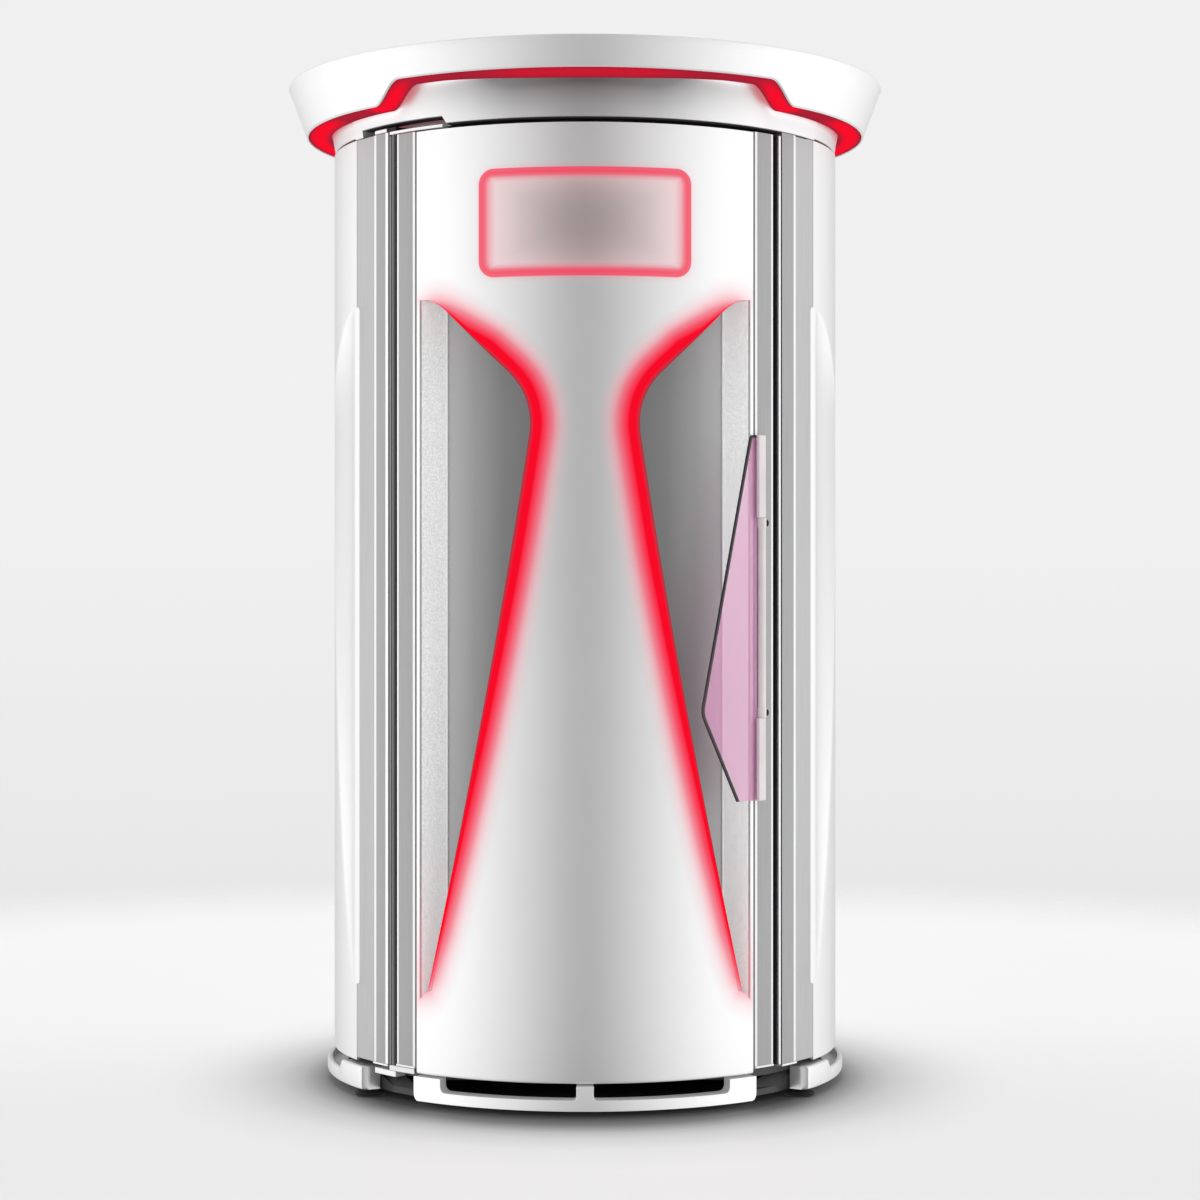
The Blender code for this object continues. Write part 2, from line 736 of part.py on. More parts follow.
def build_window_wall(name, hand):
    """The leaning outer wall of a window's recess."""
    sections = []
    front = PANEL_IN_R - FIT
    slope = (front - FLOOR_R) / WALL_RUN
    for point in EDGE:
        foot = max(WALL_FOOT, point.x + FIT)
        if WINDOW_HALF - foot < WALL_LEAST:
            continue
        depth = (WINDOW_HALF - foot) * slope
        edge = hand * spread(WINDOW_HALF)
        low = hand * spread(foot)
        loop = ((front, edge), (front - depth, low), (front - depth - WALL_T, low), (front - WALL_T, edge))
        sections.append([polar(r, a, point.y) for r, a in loop])
    return sweep(name, sections, FROST)


def build_window_pane(name, hand):
    """The grey floor of a window's recess."""
    sections = []
    for point in EDGE:
        near, far = point.x + 2 * FIT, WALL_FOOT - FIT
        if far - near < PANE_LEAST:
            continue
        across = [hand * spread(far + (near - far) * k / 3) for k in range(4)]
        loop = [(FLOOR_R, a) for a in across] + [(FLOOR_R - PANE_T, a) for a in reversed(across)]
        sections.append([polar(r, a, point.y) for r, a in loop])
    return sweep(name, sections, GREY)


def build_window_lip(name, hand):
    """The upright wall of a window's recess under the hourglass edge."""
    sections = []
    front = PANEL_IN_R - 2 * FIT
    foot = FLOOR_R - PANE_T
    for i in STRIP_ROWS:
        point = EDGE[i]
        edge = hand * spread(point.x)
        back = hand * spread(point.x - strip_width(i) * WALL_T / STRIP_T)
        loop = ((front, edge), (foot, edge), (foot, back), (front, back))
        sections.append([polar(r, a, point.y) for r, a in loop])
    return sweep(name, sections, GREY)


def build_light_strip(name, hand):
    """The light guide let into the door skin along the hourglass edge."""
    sections = []
    for i in STRIP_ROWS:
        point = EDGE[i]
        edge = hand * spread(point.x)
        back = hand * spread(point.x - strip_width(i))
        loop = ((BODY_R, edge), (PANEL_IN_R, edge), (PANEL_IN_R, back), (BODY_R, back))
        sections.append([polar(r, a, point.y) for r, a in loop])
    return sweep(name, sections, RED)


def build_sign():
    """The lit sign panel, a bent plate with round corners on the door skin."""
    columns = 10
    facet = 2 * spread(SIGN_HALF) / columns
    seat = (BODY_R + FIT) / math.cos(math.radians(facet / 2))
    top = SIGN_BOTTOM + SIGN_HEIGHT
    ends = []
    for k in range(4):
        turn = math.radians(30 * k)
        ends.append((SIGN_CORNER * (1 - math.sin(turn)), SIGN_CORNER * (1 - math.cos(turn))))
    levels = [(SIGN_BOTTOM + rise, back) for back, rise in ends]
    levels += [(top - rise, back) for back, rise in reversed(ends)]
    rows = []
    for z, back in levels:
        half = spread(SIGN_HALF - back)
        rows.append([(half * (2 * k / columns - 1), z) for k in range(columns + 1)])
    return curved_plate("sign_panel", rows, seat + SIGN_T, seat, FROST)


def lining(name, radius, thick, span, facets, bottom, top, look):
    """A bent plate of flat facets that lines the cabin between two angles."""
    half = math.radians((span[1] - span[0]) / facets) / 2
    angles = [span[0] + (span[1] - span[0]) * k / facets for k in range(facets + 1)]
    inner = [(radius / math.cos(half), a) for a in angles]
    outer = [((radius + thick) / math.cos(half), a) for a in reversed(angles)]
    return prism(name, polar_outline(inner + outer), bottom, top, look)


def pull_point(across, out, z):
    """A place in the pull's own frame: across towards the door's middle, out from the stile's flat face."""
    near = PANEL_EDGE + spread(FIT)
    middle = (near + DOOR_EDGE) / 2
    turn = math.radians(middle)
    base = polar(inscribed(POST_R, DOOR_EDGE - near), middle, z)
    inward = Vector((-math.cos(turn), -math.sin(turn), 0))
    normal = Vector((math.sin(turn), -math.cos(turn), 0))
    return base + inward * (PULL_SET + across) + normal * out


def build_pull():
    """The clear wing fin, held in the rabbets of two clamps, with a rod between the clamps."""
    back, front = FIN_STAND, FIN_STAND + FIN_T
    root = CLAMP_HALF - RABBET
    plan = (
        (-CLAMP_HALF, FIT),
        (root, FIT),
        (root, front + FIT),
        (CLAMP_HALF, front + FIT),
        (CLAMP_HALF, FIT + CLAMP_DEPTH),
        (-CLAMP_HALF, FIT + CLAMP_DEPTH),
    )
    rod_low, rod_high = PULL_BOTTOM + CLAMP_HEIGHT, PULL_TOP - CLAMP_HEIGHT
    pieces = []
    for side, span in (("upper", (rod_high, PULL_TOP)), ("lower", (PULL_BOTTOM, rod_low))):
        sections = [[pull_point(a, n, z) for a, n in plan] for z in span]
        pieces.append(sweep(f"pull_clamp_{side}", sections, SILVER))

    tab = root + FIT
    edge = PULL_ROD_R - PULL_ROD_SET + FIN_CLEAR
    outline = (
        (tab, PULL_TOP),
        (PULL_HEAD_REACH, PULL_TOP),
        (PULL_REACH, PULL_TIP_Z + NOSE_HALF),
        (PULL_REACH + NOSE_OUT, PULL_TIP_Z),
        (PULL_REACH - NOSE_BACK, PULL_TIP_Z - NOSE_HALF),
        (PULL_FOOT_REACH, PULL_BOTTOM),
        (tab, PULL_BOTTOM),
        (tab, rod_low),
        (edge, rod_low),
        (edge, rod_high),
        (tab, rod_high),
    )
    sections = [[pull_point(a, n, z) for a, z in outline] for n in (back, front)]
    pieces.append(sweep("pull_fin", sections, CLEAR))

    foot = pull_point(-PULL_ROD_SET, FIT + CLAMP_DEPTH / 2, rod_low + FIT)
    rod = ((PULL_ROD_R, 0), (PULL_ROD_R, rod_high - rod_low - 2 * FIT))
    pieces.append(turned("pull_rod", rod, foot, (0, 0, 1), SILVER, 16))
    return pieces


def hinge_plate(name, start, end, width, bottom, top, look):
    """A bent bar round the pivot rod, with a bore for it."""
    outer = POST_R
    angles = arc_steps(start, end)
    points = [(outer, a) for a in angles] + [(outer - width, a) for a in reversed(angles)]
    plate = prism(name, polar_outline(points), bottom, top, look)
    bore = ((ROD_R + FIT, -CUTTER_OVER), (ROD_R + FIT, top - bottom + CUTTER_OVER))
    cut(plate, turned(f"cutter_{name}", bore, polar(PIVOT_R, PIVOT_ANGLE, bottom), (0, 0, 1), look, 24))
    return plate


def build_hinge():
    """The pivot rod with its two arms, which turn with the door, and the two brackets that hold it."""
    top_arm = DOOR_TOP + FIT
    low_arm = DOOR_BOTTOM - FIT
    high = (ARM_OUTER_ANGLE, ARM_INNER_ANGLE, ARM_WIDTH)
    low = (ARM_OUTER_ANGLE, -PANEL_EDGE - LOW_ARM_GAP, ARM_WIDTH)
    pieces = [
        hinge_plate("hinge_arm_top", *high, top_arm, top_arm + TOP_ARM_T, STEEL),
        hinge_plate("hinge_arm_bottom", *low, low_arm - LOW_ARM_T, low_arm, STEEL),
    ]
    top_bracket = BODY_TOP + 2 * FIT
    low_bracket = low_arm - LOW_ARM_T - FIT
    bracket = (-POST_END, -BRACKET_END, POST_R - RIM_GAP_R)
    hinge_plate("hinge_bracket_top", *bracket, top_bracket, top_bracket + TOP_BRACKET_T, STEEL)
    hinge_plate("hinge_bracket_bottom", *bracket, low_bracket - LOW_BRACKET_T, low_bracket, STEEL)
    foot = low_bracket - LOW_BRACKET_T
    rod = ((ROD_R, 0), (ROD_R, top_bracket + TOP_BRACKET_T - foot))
    pieces.append(turned("hinge_rod", rod, polar(PIVOT_R, PIVOT_ANGLE, foot), (0, 0, 1), CHARCOAL, 24))
    return pieces


def build_latch():
    """The black seal and the magnetic catch on the latch post's face."""
    outer = POST_R - SEAL_SETBACK
    face = POST_FACE - spread(FIT)
    near = face - spread(SEAL_T)
    seal = ((outer, near), (outer, face), (outer - SEAL_DEPTH, face), (outer - SEAL_DEPTH, near))
    prism("door_seal", polar_outline(seal), DOOR_BOTTOM, DOOR_TOP, BLACK)
    low = CABIN_R + CATCH_INSET
    near = DOOR_EDGE + spread(2 * FIT, low)
    face = POST_FACE - spread(FIT, low)
    block = ((low, near), (low, face), (low + CATCH_DEPTH, face), (low + CATCH_DEPTH, near))
    prism("catch_magnet", polar_outline(block), CATCH_Z, CATCH_Z + CATCH_HEIGHT, CHARCOAL)


# Cabin
def build_cabin(latch_post):
    gap = spread(FIT, SHIELD_R)
    heights = (LINING_BOTTOM, LINING_TOP)
    for hand, side in ((-1, "left"), (1, "right")):
        span = sorted((hand * CABIN_START, hand * (180 - gap)))
        lining(f"led_panel_{side}", LED_R, LED_PANEL_T, span, 4, *heights, GREY)
        lining(f"shield_{side}", SHIELD_R, SHIELD_T, span, 4, *heights, CLEAR)
    build_button(latch_post)


def build_button(latch_post):
    """The start button, whose stem runs in a bore in the latch post's inner face."""
    angle = (POST_FACE + POST_END) / 2
    face = inscribed(CABIN_R, POST_END - POST_FACE)
    out = polar(1.0, angle, 0.0)
    front = face - BUTTON_TRAVEL - BUTTON_T - 2 * FIT
    place = polar(front, angle, BUTTON_Z)
    profile = (
        (BUTTON_R - BUTTON_EDGE, 0),
        (BUTTON_R, BUTTON_EDGE),
        (BUTTON_R, BUTTON_T),
        (BUTTON_STEM_R, BUTTON_T),
        (BUTTON_STEM_R, BUTTON_STEM),
    )
    button = turned("start_button", profile, place, out, RED)
    wide = BUTTON_STEM_R + FIT
    bore = ((wide, -CUTTER_OVER), (wide, PROFILE_WALL + CUTTER_OVER))
    cut(latch_post, turned("cutter_button", bore, polar(face, angle, BUTTON_Z), out, SILVER))
    pivot("start_button_axis", place, [button])


# Canopy
def canopy_low(angle):
    """Height of the fascia's lower edge, raised over the door."""
    side = abs((angle + 180) % 360 - 180)
    share = max(0.0, min(1.0, (NOTCH_END - side) / (NOTCH_END - NOTCH_FLAT)))
    return CANOPY_LOW + NOTCH_RISE * share * share * (3 - 2 * share)


def fascia_radius(z):
    share = (z - CANOPY_LOW) / FASCIA_HEIGHT
    return BODY_R + FASCIA_LOW_OUT + (FASCIA_TOP_OUT - FASCIA_LOW_OUT) * share


def neck_radius(z):
    return BODY_R + NECK_FLARE * (z - NECK_BOTTOM) / NECK_HEIGHT


def canopy_angles():
    """Angles all round the canopy, with extra ones where its edges step."""
    steep = NOTCH_END - ARC_STEP / 2
    extra = [-NOTCH_END, -steep, -NOTCH_FLAT, NOTCH_FLAT, steep, NOTCH_END]
    extra += [HINGE_NOTCH[0] - NOTCH_SIDE, *HINGE_NOTCH, HINGE_NOTCH[1] + NOTCH_SIDE]
    whole = [-180 + ARC_STEP * i for i in range(round(360 / ARC_STEP))]
    return sorted(set(whole + extra))


def build_canopy():
    build_neck()
    fascia, light = [], []
    top = OVERALL_HEIGHT
    lip = fascia_radius(top) - FASCIA_LIP
    under = top - FASCIA_LIP_T
    for angle in canopy_angles():
        low = canopy_low(angle)
        loop = (
            (fascia_radius(low), low),
            (fascia_radius(top - FASCIA_ROUND), top - FASCIA_ROUND),
            (fascia_radius(top) - FASCIA_ROUND, top),
            (lip, top),
            (lip, under),
            (fascia_radius(under) - FASCIA_WALL, under),
            (fascia_radius(low) - FASCIA_WALL, low),
        )
        fascia.append([polar(r, angle, z) for r, z in loop])
        below, above = low + LIGHT_RECESS, low + LIGHT_RECESS + LIGHT_T
        loop = (
            (neck_radius(below) + 2 * FIT, below),
            (fascia_radius(below) - FASCIA_WALL - FIT, below),
            (fascia_radius(above) - FASCIA_WALL - FIT, above),
            (neck_radius(above) + 2 * FIT, above),
        )
        light.append([polar(r, angle, z) for r, z in loop])
    sweep("canopy_fascia", fascia, WHITE, closed=True)
    sweep("canopy_light_ring", light, RED, closed=True)
    build_top_cover(lip)


def build_neck():
    """The white collar on the body, with an inner flange and a notch over the hinge."""
    sections = []
    flange = NECK_BOTTOM + NECK_FLANGE
    for angle in canopy_angles():
        notched = HINGE_NOTCH[0] <= angle <= HINGE_NOTCH[1]
        low = NECK_BOTTOM + HINGE_NOTCH_H if notched else NECK_BOTTOM
        loop = (
            (RIM_GAP_R, low),
            (neck_radius(low), low),
            (neck_radius(NECK_TOP), NECK_TOP),
            (neck_radius(NECK_TOP) - NECK_WALL, NECK_TOP),
            (neck_radius(flange) - NECK_WALL, flange),
            (RIM_GAP_R, flange),
        )
        sections.append([polar(r, angle, z) for r, z in loop])
    sweep("canopy_neck", sections, WHITE, closed=True)


def build_top_cover(lip):
    """The canopy's lid, with a ring grille over the fan."""
    rings = [0.0] + [GRILLE_HUB_R + GRILLE_STEP * i for i in range(GRILLE_RINGS)]
    radii = rings + [COVER_MID_R, lip - FIT]
    spokes = (0, 6, 12, 18, 24, 30)

    def keep(r, c):
        return r % 2 == 0 or r > GRILLE_RINGS - 1 or c in spokes

    flat_disc("top_cover", radii, COARSE_STEP, COVER_BOTTOM, COVER_TOP, WHITE, keep)


def build_fan():
    spokes = (0, 1, 9, 10, 18, 19, 27, 28)
    radii = (0.0, INTAKE_IN, INTAKE_OUT, DISC_MID_R, PLATE_R)
    flat_disc(
        "roof_plate", radii, COARSE_STEP, ROOF_BOTTOM, ROOF_TOP, SILVER,
        lambda r, c: r != 1 or c in spokes,
    )
    low, high = ROOF_TOP + FIT, COVER_BOTTOM - FIT
    duct = []
    for angle in arc_steps(0, 360 - COARSE_STEP, COARSE_STEP):
        loop = ((DUCT_R, low), (DUCT_R, high), (DUCT_R - DUCT_WALL, high), (DUCT_R - DUCT_WALL, low))
        duct.append([polar(r, angle, z) for r, z in loop])
    sweep("fan_duct", duct, CHARCOAL, closed=True)
    edge = MOTOR_HEIGHT - MOTOR_EDGE
    motor = ((MOTOR_R, 0), (MOTOR_R, edge), (MOTOR_R - MOTOR_EDGE, MOTOR_HEIGHT))
    turned("fan_motor", motor, (0, 0, low), (0, 0, 1), CHARCOAL)
    rotor = build_rotor(low + MOTOR_HEIGHT + FIT)
    pivot("fan_axis", (0, 0, low), [rotor])
    long, deep, tall = DRIVER_SIZE
    middle = PLATE_R - DRIVER_SETBACK
    plan = [(x * long / 2, middle + y * deep / 2) for x, y in ((-1, -1), (1, -1), (1, 1), (-1, 1))]
    prism("led_driver", plan, low, low + tall, SILVER)


def build_rotor(bottom):
    """A hub whose every second side runs out into a pitched blade."""
    sides = 2 * BLADES
    angles = [360 * i / sides for i in range(sides)]
    bm = bmesh.new()
    low = [bm.verts.new(polar(HUB_R, a, bottom)) for a in angles]
    high = [bm.verts.new(polar(HUB_R, a, bottom + HUB_HEIGHT)) for a in angles]
    bm.faces.new(low)
    bm.faces.new(high)
    middle = bottom + HUB_HEIGHT / 2
    for i in range(sides):
        j = (i + 1) % sides
        root = (low[i], low[j], high[j], high[i])
        if i % 2:
            bm.faces.new(root)
            continue
        facing = 360 * (i + 0.5) / sides
        centre = polar(BLADE_R, facing, middle)
        turn = math.radians(facing)
        across = Vector((math.cos(turn), math.sin(turn), 0))
        up = Vector((0, 0, 1))
        places = (
            (-BLADE_HALF, -BLADE_RISE - BLADE_T / 2),
            (BLADE_HALF, BLADE_RISE - BLADE_T / 2),
            (BLADE_HALF, BLADE_RISE + BLADE_T / 2),
            (-BLADE_HALF, -BLADE_RISE + BLADE_T / 2),
        )
        tip = [bm.verts.new(centre + across * s + up * h) for s, h in places]
        for k in range(4):
            n = (k + 1) % 4
            bm.faces.new((root[k], root[n], tip[n], tip[k]))
        bm.faces.new(tip)
    return add_object("fan_rotor", bm, CHARCOAL)


build_base()
latch_post = build_frame()
build_services()
build_door()
build_latch()
build_cabin(latch_post)
build_canopy()
build_fan()
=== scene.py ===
"""Looks of the stand-up light booth: fine meshes, materials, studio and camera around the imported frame."""

import math

import bmesh
import bpy
import numpy as np
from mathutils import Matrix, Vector


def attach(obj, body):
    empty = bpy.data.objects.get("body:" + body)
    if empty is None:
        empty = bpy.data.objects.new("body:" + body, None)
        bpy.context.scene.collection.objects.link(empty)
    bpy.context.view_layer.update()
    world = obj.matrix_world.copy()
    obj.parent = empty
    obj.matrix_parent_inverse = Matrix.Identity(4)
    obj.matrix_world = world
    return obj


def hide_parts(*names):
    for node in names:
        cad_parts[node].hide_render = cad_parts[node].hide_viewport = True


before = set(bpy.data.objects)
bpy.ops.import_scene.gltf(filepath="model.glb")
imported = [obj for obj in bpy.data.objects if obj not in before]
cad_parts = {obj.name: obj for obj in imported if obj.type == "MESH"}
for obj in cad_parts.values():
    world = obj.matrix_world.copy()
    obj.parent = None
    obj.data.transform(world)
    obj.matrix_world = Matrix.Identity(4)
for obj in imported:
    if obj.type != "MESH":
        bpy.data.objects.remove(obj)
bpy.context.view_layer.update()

SIDES = ((-1, "left"), (1, "right"))

# Gap between pieces that seat on each other, in metres
FIT = 0.0003

# Heights above the floor
FLOOR_PAD = 0.016
BASE_BOTTOM = 0.0163
PLATFORM_TOP = 0.0785
SHELL_BOTTOM = 0.082
SHELL_FOOT = 0.0755
DOOR_BOTTOM = 0.084
SKIN_FOOT = 0.0745
DOOR_TOP = 2.135
BODY_TOP = 2.1437
NECK_BOTTOM = 2.144
NECK_TOP = 2.262
CANOPY_LOW = 2.187
CANOPY_TOP = 2.300
COVER_TOP = 2.298
COVER_BOTTOM = 2.288
ROOF_BOTTOM = 2.1443

# Plan radii and thicknesses
BODY_R = 0.587
PANEL_IN_R = 0.575
RAIL_R = 0.5734
RAIL_H = 0.040
POST_R = 0.5862
POST_CUT = 0.0028
POST_STRIP_T = 0.005
BACK_CUT = (0.0030, 0.0030)
UNCUT = ((0.0, 0.0),) * 4
TRIM_R, TRIM_T = 0.581, 0.004
CABIN_R = 0.455
SHIELD_R, SHIELD_T = 0.460, 0.005
LED_R, LED_T = 0.470, 0.020
FLOOR_R = 0.511
PLATE_R = 0.5556
SHELL_T = 0.008

# Angles from the front, in degrees
PANEL_EDGE = 39.3
DOOR_EDGE = 45.6
POST_FACE = 48.1
POST_END = 53.6
TRIM_END = 61.05
SHELL_END = 150.0
CABIN_START = 53.3
CABIN_END = 179.96
SEAM = 0.03

# Door skin and the gasket beside it
SKIN_EDGE = 38.80
SKIN_DROP = 0.0021
FOOT_ROUND = 0.007
FOOT_TUCK = 0.7
GASKET_R = 0.5852
GASKET_SEAM = 0.01
GASKET_DROP = 0.001
CAP_T = 0.0052

# Windows and the hourglass between them
WINDOW_HALF = math.radians(PANEL_EDGE) * BODY_R - 0.0135
WINDOW_TOP = 1.765
WINDOW_BOTTOM = 0.237
TOP_FLAT = 0.041
WAIST_HALF, WAIST_Z = 0.1084, 1.5455
BEND_HALF, BEND_Z = 0.2237, 0.8065
TIP_WIDTH = 0.0225
SHOULDER_ROUND = 0.050
WAIST_ROUND = 0.085
WALL_RUN = 0.0169
WALL_STEP = 0.007
WALL_T = 0.004
PANE_T = 0.006
# Painted shade across the grey pane, from dark at the first distance along the skin to pale at the second
PANE_SHADE_FADE = (0.21, 0.37)
LEAST_WIDTH = 0.006
BEAD_W, BEAD_H = 0.004, 0.003
STRIP_T = 0.010
STRIP_WIDEST = 1.8

# Scoops of the side shells and the bands beside them
SCOOP_DEPTH = 0.0250
SCOOP_FULL_WIDTH = 9
LIP_SPAN, LIP_DROP = 2.6, 0.0015
DISH_TURN = 5.2
DISH_RISE = 1.7
TRIM_STEP = 1.2
TRIM_RUN = 0.002
TRIM_LOW, TRIM_HIGH = WINDOW_BOTTOM + 0.012, WINDOW_TOP + 0.002

# Sign panel
SIGN_BOTTOM = 1.804
SIGN_HEIGHT = 0.233
SIGN_HALF = 0.2336
SIGN_T = 0.004
SIGN_CORNER = 0.034
SIGN_BAND = 0.016
SIGN_STRETCH = 0.8

# Pull fin, in a frame on the latch stile's flat face
STILE_START = PANEL_EDGE + SEAM
STILE_EDGE = 39.47
STILE_OUT = 45.2
STILE_MID = (STILE_START + DOOR_EDGE) / 2
STILE_FACE_R = POST_R * math.cos(math.radians(DOOR_EDGE - STILE_START) / 2)
PULL_SET = 0.0209
PULL_TOP = 1.4705
PULL_TIP_Z = 0.866
PULL_BOTTOM = 0.6715
PULL_REACH = 0.1807
PULL_HEAD_REACH = 0.0296
PULL_FOOT_REACH = 0.0711
NOSE_HALF = 0.018
HEAD_ROUND = 0.010
FIN_BACK, FIN_FRONT = 0.0015, 0.0065
FIN_BORDER, FIN_RIM = 0.0055, 0.0004
CLAMP_HALF = 0.008
CLAMP_NOSE = 0.0142
CLAMP_DEPTH = 0.016
CLAMP_HEIGHT = 0.181
RABBET = 0.006
ROD_SET = 0.001
ROD_R = 0.0088
ROD_OUT = 0.0096
ROD_CLEAR = 0.003
COLLAR_R, COLLAR_H = 0.0100, 0.022

# Hinge
PIVOT_R = 0.578
PIVOT_ANGLE = -46.6
PIVOT_POST_R = 0.0065
HINGE_NOTCH = (-57.6, -31.8)
NOTCH_SLANT = 0.9
HINGE_NOTCH_H = 0.0162
ARM_WIDTH = 0.021
TOP_ARM_H, LOW_ARM_H = 0.0070, 0.0120
TOP_BRACKET_H, LOW_BRACKET_H = 0.0081, 0.0125
TOP_ARM_SPAN, LOW_ARM_SPAN = (-47.5, -31.9), (-47.5, -39.6)
TOP_BRACKET_SPAN, LOW_BRACKET_SPAN = (-52.9, -48.5), (-52.9, -45.4)
TONGUE_SPAN = (-48.45, -45.4)

# Rear panel
LOUVRE_HALF = 14.64
LOUVRE_FIELDS = (0.330, 1.780)
LOUVRE_ROWS = 6
LOUVRE_PITCH = 0.028
LOUVRE_SLOT = 0.012
LOUVRE_LAND = 0.005
LOUVRE_HOOD = 0.0045
LOUVRE_MARGIN = 0.02
MULLION_HALF = 1.0
INLET_BOTTOM, INLET_TOP = 0.1397, 0.2303
INLET_HALF = 6.05

# Canopy
NOTCH_FLAT = 37.0
NOTCH_END = 45.0
NOTCH_RISE = 0.048
CANOPY_FINE = (34, 60)
FASCIA_LOW_R, FASCIA_FLARE = 0.651, 0.042
FASCIA_LIP_R, FASCIA_LIP_T = 0.658, 0.010
FASCIA_WALL = 0.004
FASCIA_ROUND = 0.004
LIGHT_RECESS = 0.003
LIGHT_T = 0.008
NECK_FLARE = 0.022
NECK_STEP = 61.5
NECK_BREAK = 0.15
NECK_INSET = 0.004
NECK_GROOVE = 0.005
NECK_GAP = 0.0008
NECK_FLANGE = 0.018
GRILLE_START, GRILLE_PITCH, GRILLE_COUNT = 0.020, 0.013, 11
COVER_RADII = [0.20, 0.30, 0.40, 0.50, 0.560, 0.566, 0.600, 0.606, 0.640, 0.6577]
PRESSED_RING, PRESSED_DEPTH = (0.5655, 0.6005), 0.0025
COVER_SCREWS, COVER_SCREW_R = 12, 0.630

# Base
SKIRT_R = 0.603
LOBE_START, LOBE_FINE_END, LOBE_END = 55.5, 69.5, 179.97
LOBE_ROUND, LOBE_NOSE = 1.2, 0.012
BLOCK_END, BLOCK_FALL = 66.3, 1.6
BLOCK_TOP, RIM_TOP = 0.070, 0.050
BLOCK_FLOOR, CHANNEL_FLOOR = 0.069, 0.032
BUMPER_OUT = 0.005
BUMPER_RAIL, BUMPER_TOP = 0.040, 0.0695
SLOT_START, SLOT_END, SLOT_TURN = 1.8, 32.1, 1.0
FOOT_R = 0.567
FOOT_ANGLES = (("front", 58.0), ("rear", 138.0))

# Cabin
LAMP_COLUMNS, LAMP_PITCH, LAMP_MARGIN, LAMP_FILL = 5, 0.052, 0.05, 0.84
MAT_T = 0.005
RIB_START, RIB_PITCH, RIB_COUNT, RIB_DEPTH = 0.34, 0.0075, 13, 0.0015

# Share of the light along the hourglass edge, by the distance from its top and from its foot
TOP_TAPER = ((0.0, 0.22), (0.04, 0.42), (0.10, 0.66), (0.15, 0.82), (0.21, 1.0))
FOOT_TAPER = ((0.0, 0.30), (0.06, 0.55), (0.17, 0.70), (0.36, 0.81), (0.60, 0.90), (1.0, 1.0))
GLOW_REACH, GLOW_LEAST = 0.092, 0.45
GUIDE_EDGE, GUIDE_BACK = 1.25, 0.885

# Light on the sign by the distance from its border, and round it
SIGN_LIGHT = ((0.0, 0.52), (0.010, 0.57), (0.020, 0.42), (0.030, 0.27), (0.042, 0.17), (0.065, 0.10),
              (0.10, 0.05), (0.16, 0.0))
SIGN_HALO, SIGN_HALO_REACH = 0.20, 0.006

# Lean and light of the canopy's ring, and the painted shade and painted pink glow on the neck, by the angle
# from the front
RING_LEAN = ((0, 0.011), (10, 0.010), (20, 0.006), (30, 0.002))
RING_LIGHT = ((12, 0.45), (24, 0.16), (37, 0.25), (41, 1.0), (47, 1.0), (50, 0.20), (61, 0.20), (68, 1.0))
RING_SHARES = (0.0, 0.15, 0.35, 0.5, 0.65, 0.85, 1.0)
NECK_SHADE = ((0, 0.457), (15, 0.457), (25, 0.24), (40, 0.12), (60, 0.06))
NECK_SHADE_REACH = ((0, 0.040), (15, 0.057), (25, 0.070))
NECK_PLAIN = 0.30
NECK_RING_GLOW, NECK_RING_GLOW_REACH, NECK_RING_GLOW_SPAN = 0.42, 0.006, (16, 32)

# Light and share of the skin's own colour along the glow, from plain skin to the guide's deep edge
RED_CORE = (0.938, 0.0033, 0.0212)
GLOW_STOPS = (
    (0.00, (0.0, 0.0, 0.0), 1.0),
    (0.19, (0.222, 0.106, 0.119), 0.75),
    (0.27, (0.368, 0.141, 0.165), 0.60),
    (0.37, (0.558, 0.134, 0.178), 0.40),
    (0.47, (0.710, 0.080, 0.134), 0.20),
    (0.60, (0.884, 0.042, 0.100), 0.05),
    (0.74, RED_CORE, 0.0),
    (0.885, RED_CORE, 0.0),
    (1.00, (0.300, 0.050, 0.070), 0.0),
)
# The same on the sign, whose middle is a little deeper than the field round it
SIGN_STOPS = (
    (0.00, (0.010, 0.0, 0.0), 0.89),
    (0.10, (0.085, 0.040, 0.045), 0.94),
    (0.19, (0.210, 0.100, 0.112), 0.84),
) + GLOW_STOPS[2:]
# The same along the neck, from the painted shade at its middle over plain skin to the painted pink glow
# beside the ring
NECK_STOPS = (
    (0.00, (0.0, 0.0, 0.0), 0.32),
    (0.15, (0.0, 0.0, 0.0), 0.62),
    (NECK_PLAIN, (0.0, 0.0, 0.0), 1.0),
    (0.50, (0.222, 0.106, 0.119), 0.75),
    (0.72, (0.558, 0.134, 0.178), 0.40),
    (1.00, (0.884, 0.042, 0.100), 0.05),
)

# Studio floor with its contact shade, surroundings, sun and camera
STAGE_RINGS = (0.0, 0.8, 1.6, 2.6, 3.4, 4.0, 4.6, 5.2)
STAGE_Z = -0.0002
STAGE_FADE = (3.0, 4.6)
SHADE_SPAN, SHADE_OVAL = (0.55, 1.15), (1.10, 0.985, 1.0)
SHADE_STOPS = ((0.60, 0.15), (0.645, 0.25), (0.684, 0.45), (0.727, 0.68), (0.78, 0.82), (0.90, 0.93),
               (1.1, 1.0))
FRONT_SPAN, FRONT_TONES = (-1.2, 0.6), (0.91, 1.02)
WORLD_STOPS = ((0.0, 0.080), (0.39, 0.45), (0.70, 0.74), (0.88, 0.94), (1.0, 1.0))
WORLD_STRENGTH = 1.42
BACKDROP_STOPS = ((0.0, 0.80), (0.2, 0.83), (0.5, 0.88), (1.0, 0.87))
SUN_STRENGTH, SUN_SPREAD = 1.35, 12.0
CAMERA_PLACE = (0, -6.389, 1.110)
SENSOR, LENS, LENS_SHIFT = 36.0, 81.4, 0.0125


# General helpers
def polar(radius, angle, z):
    turn = math.radians(angle)
    return Vector((radius * math.sin(turn), -radius * math.cos(turn), z))


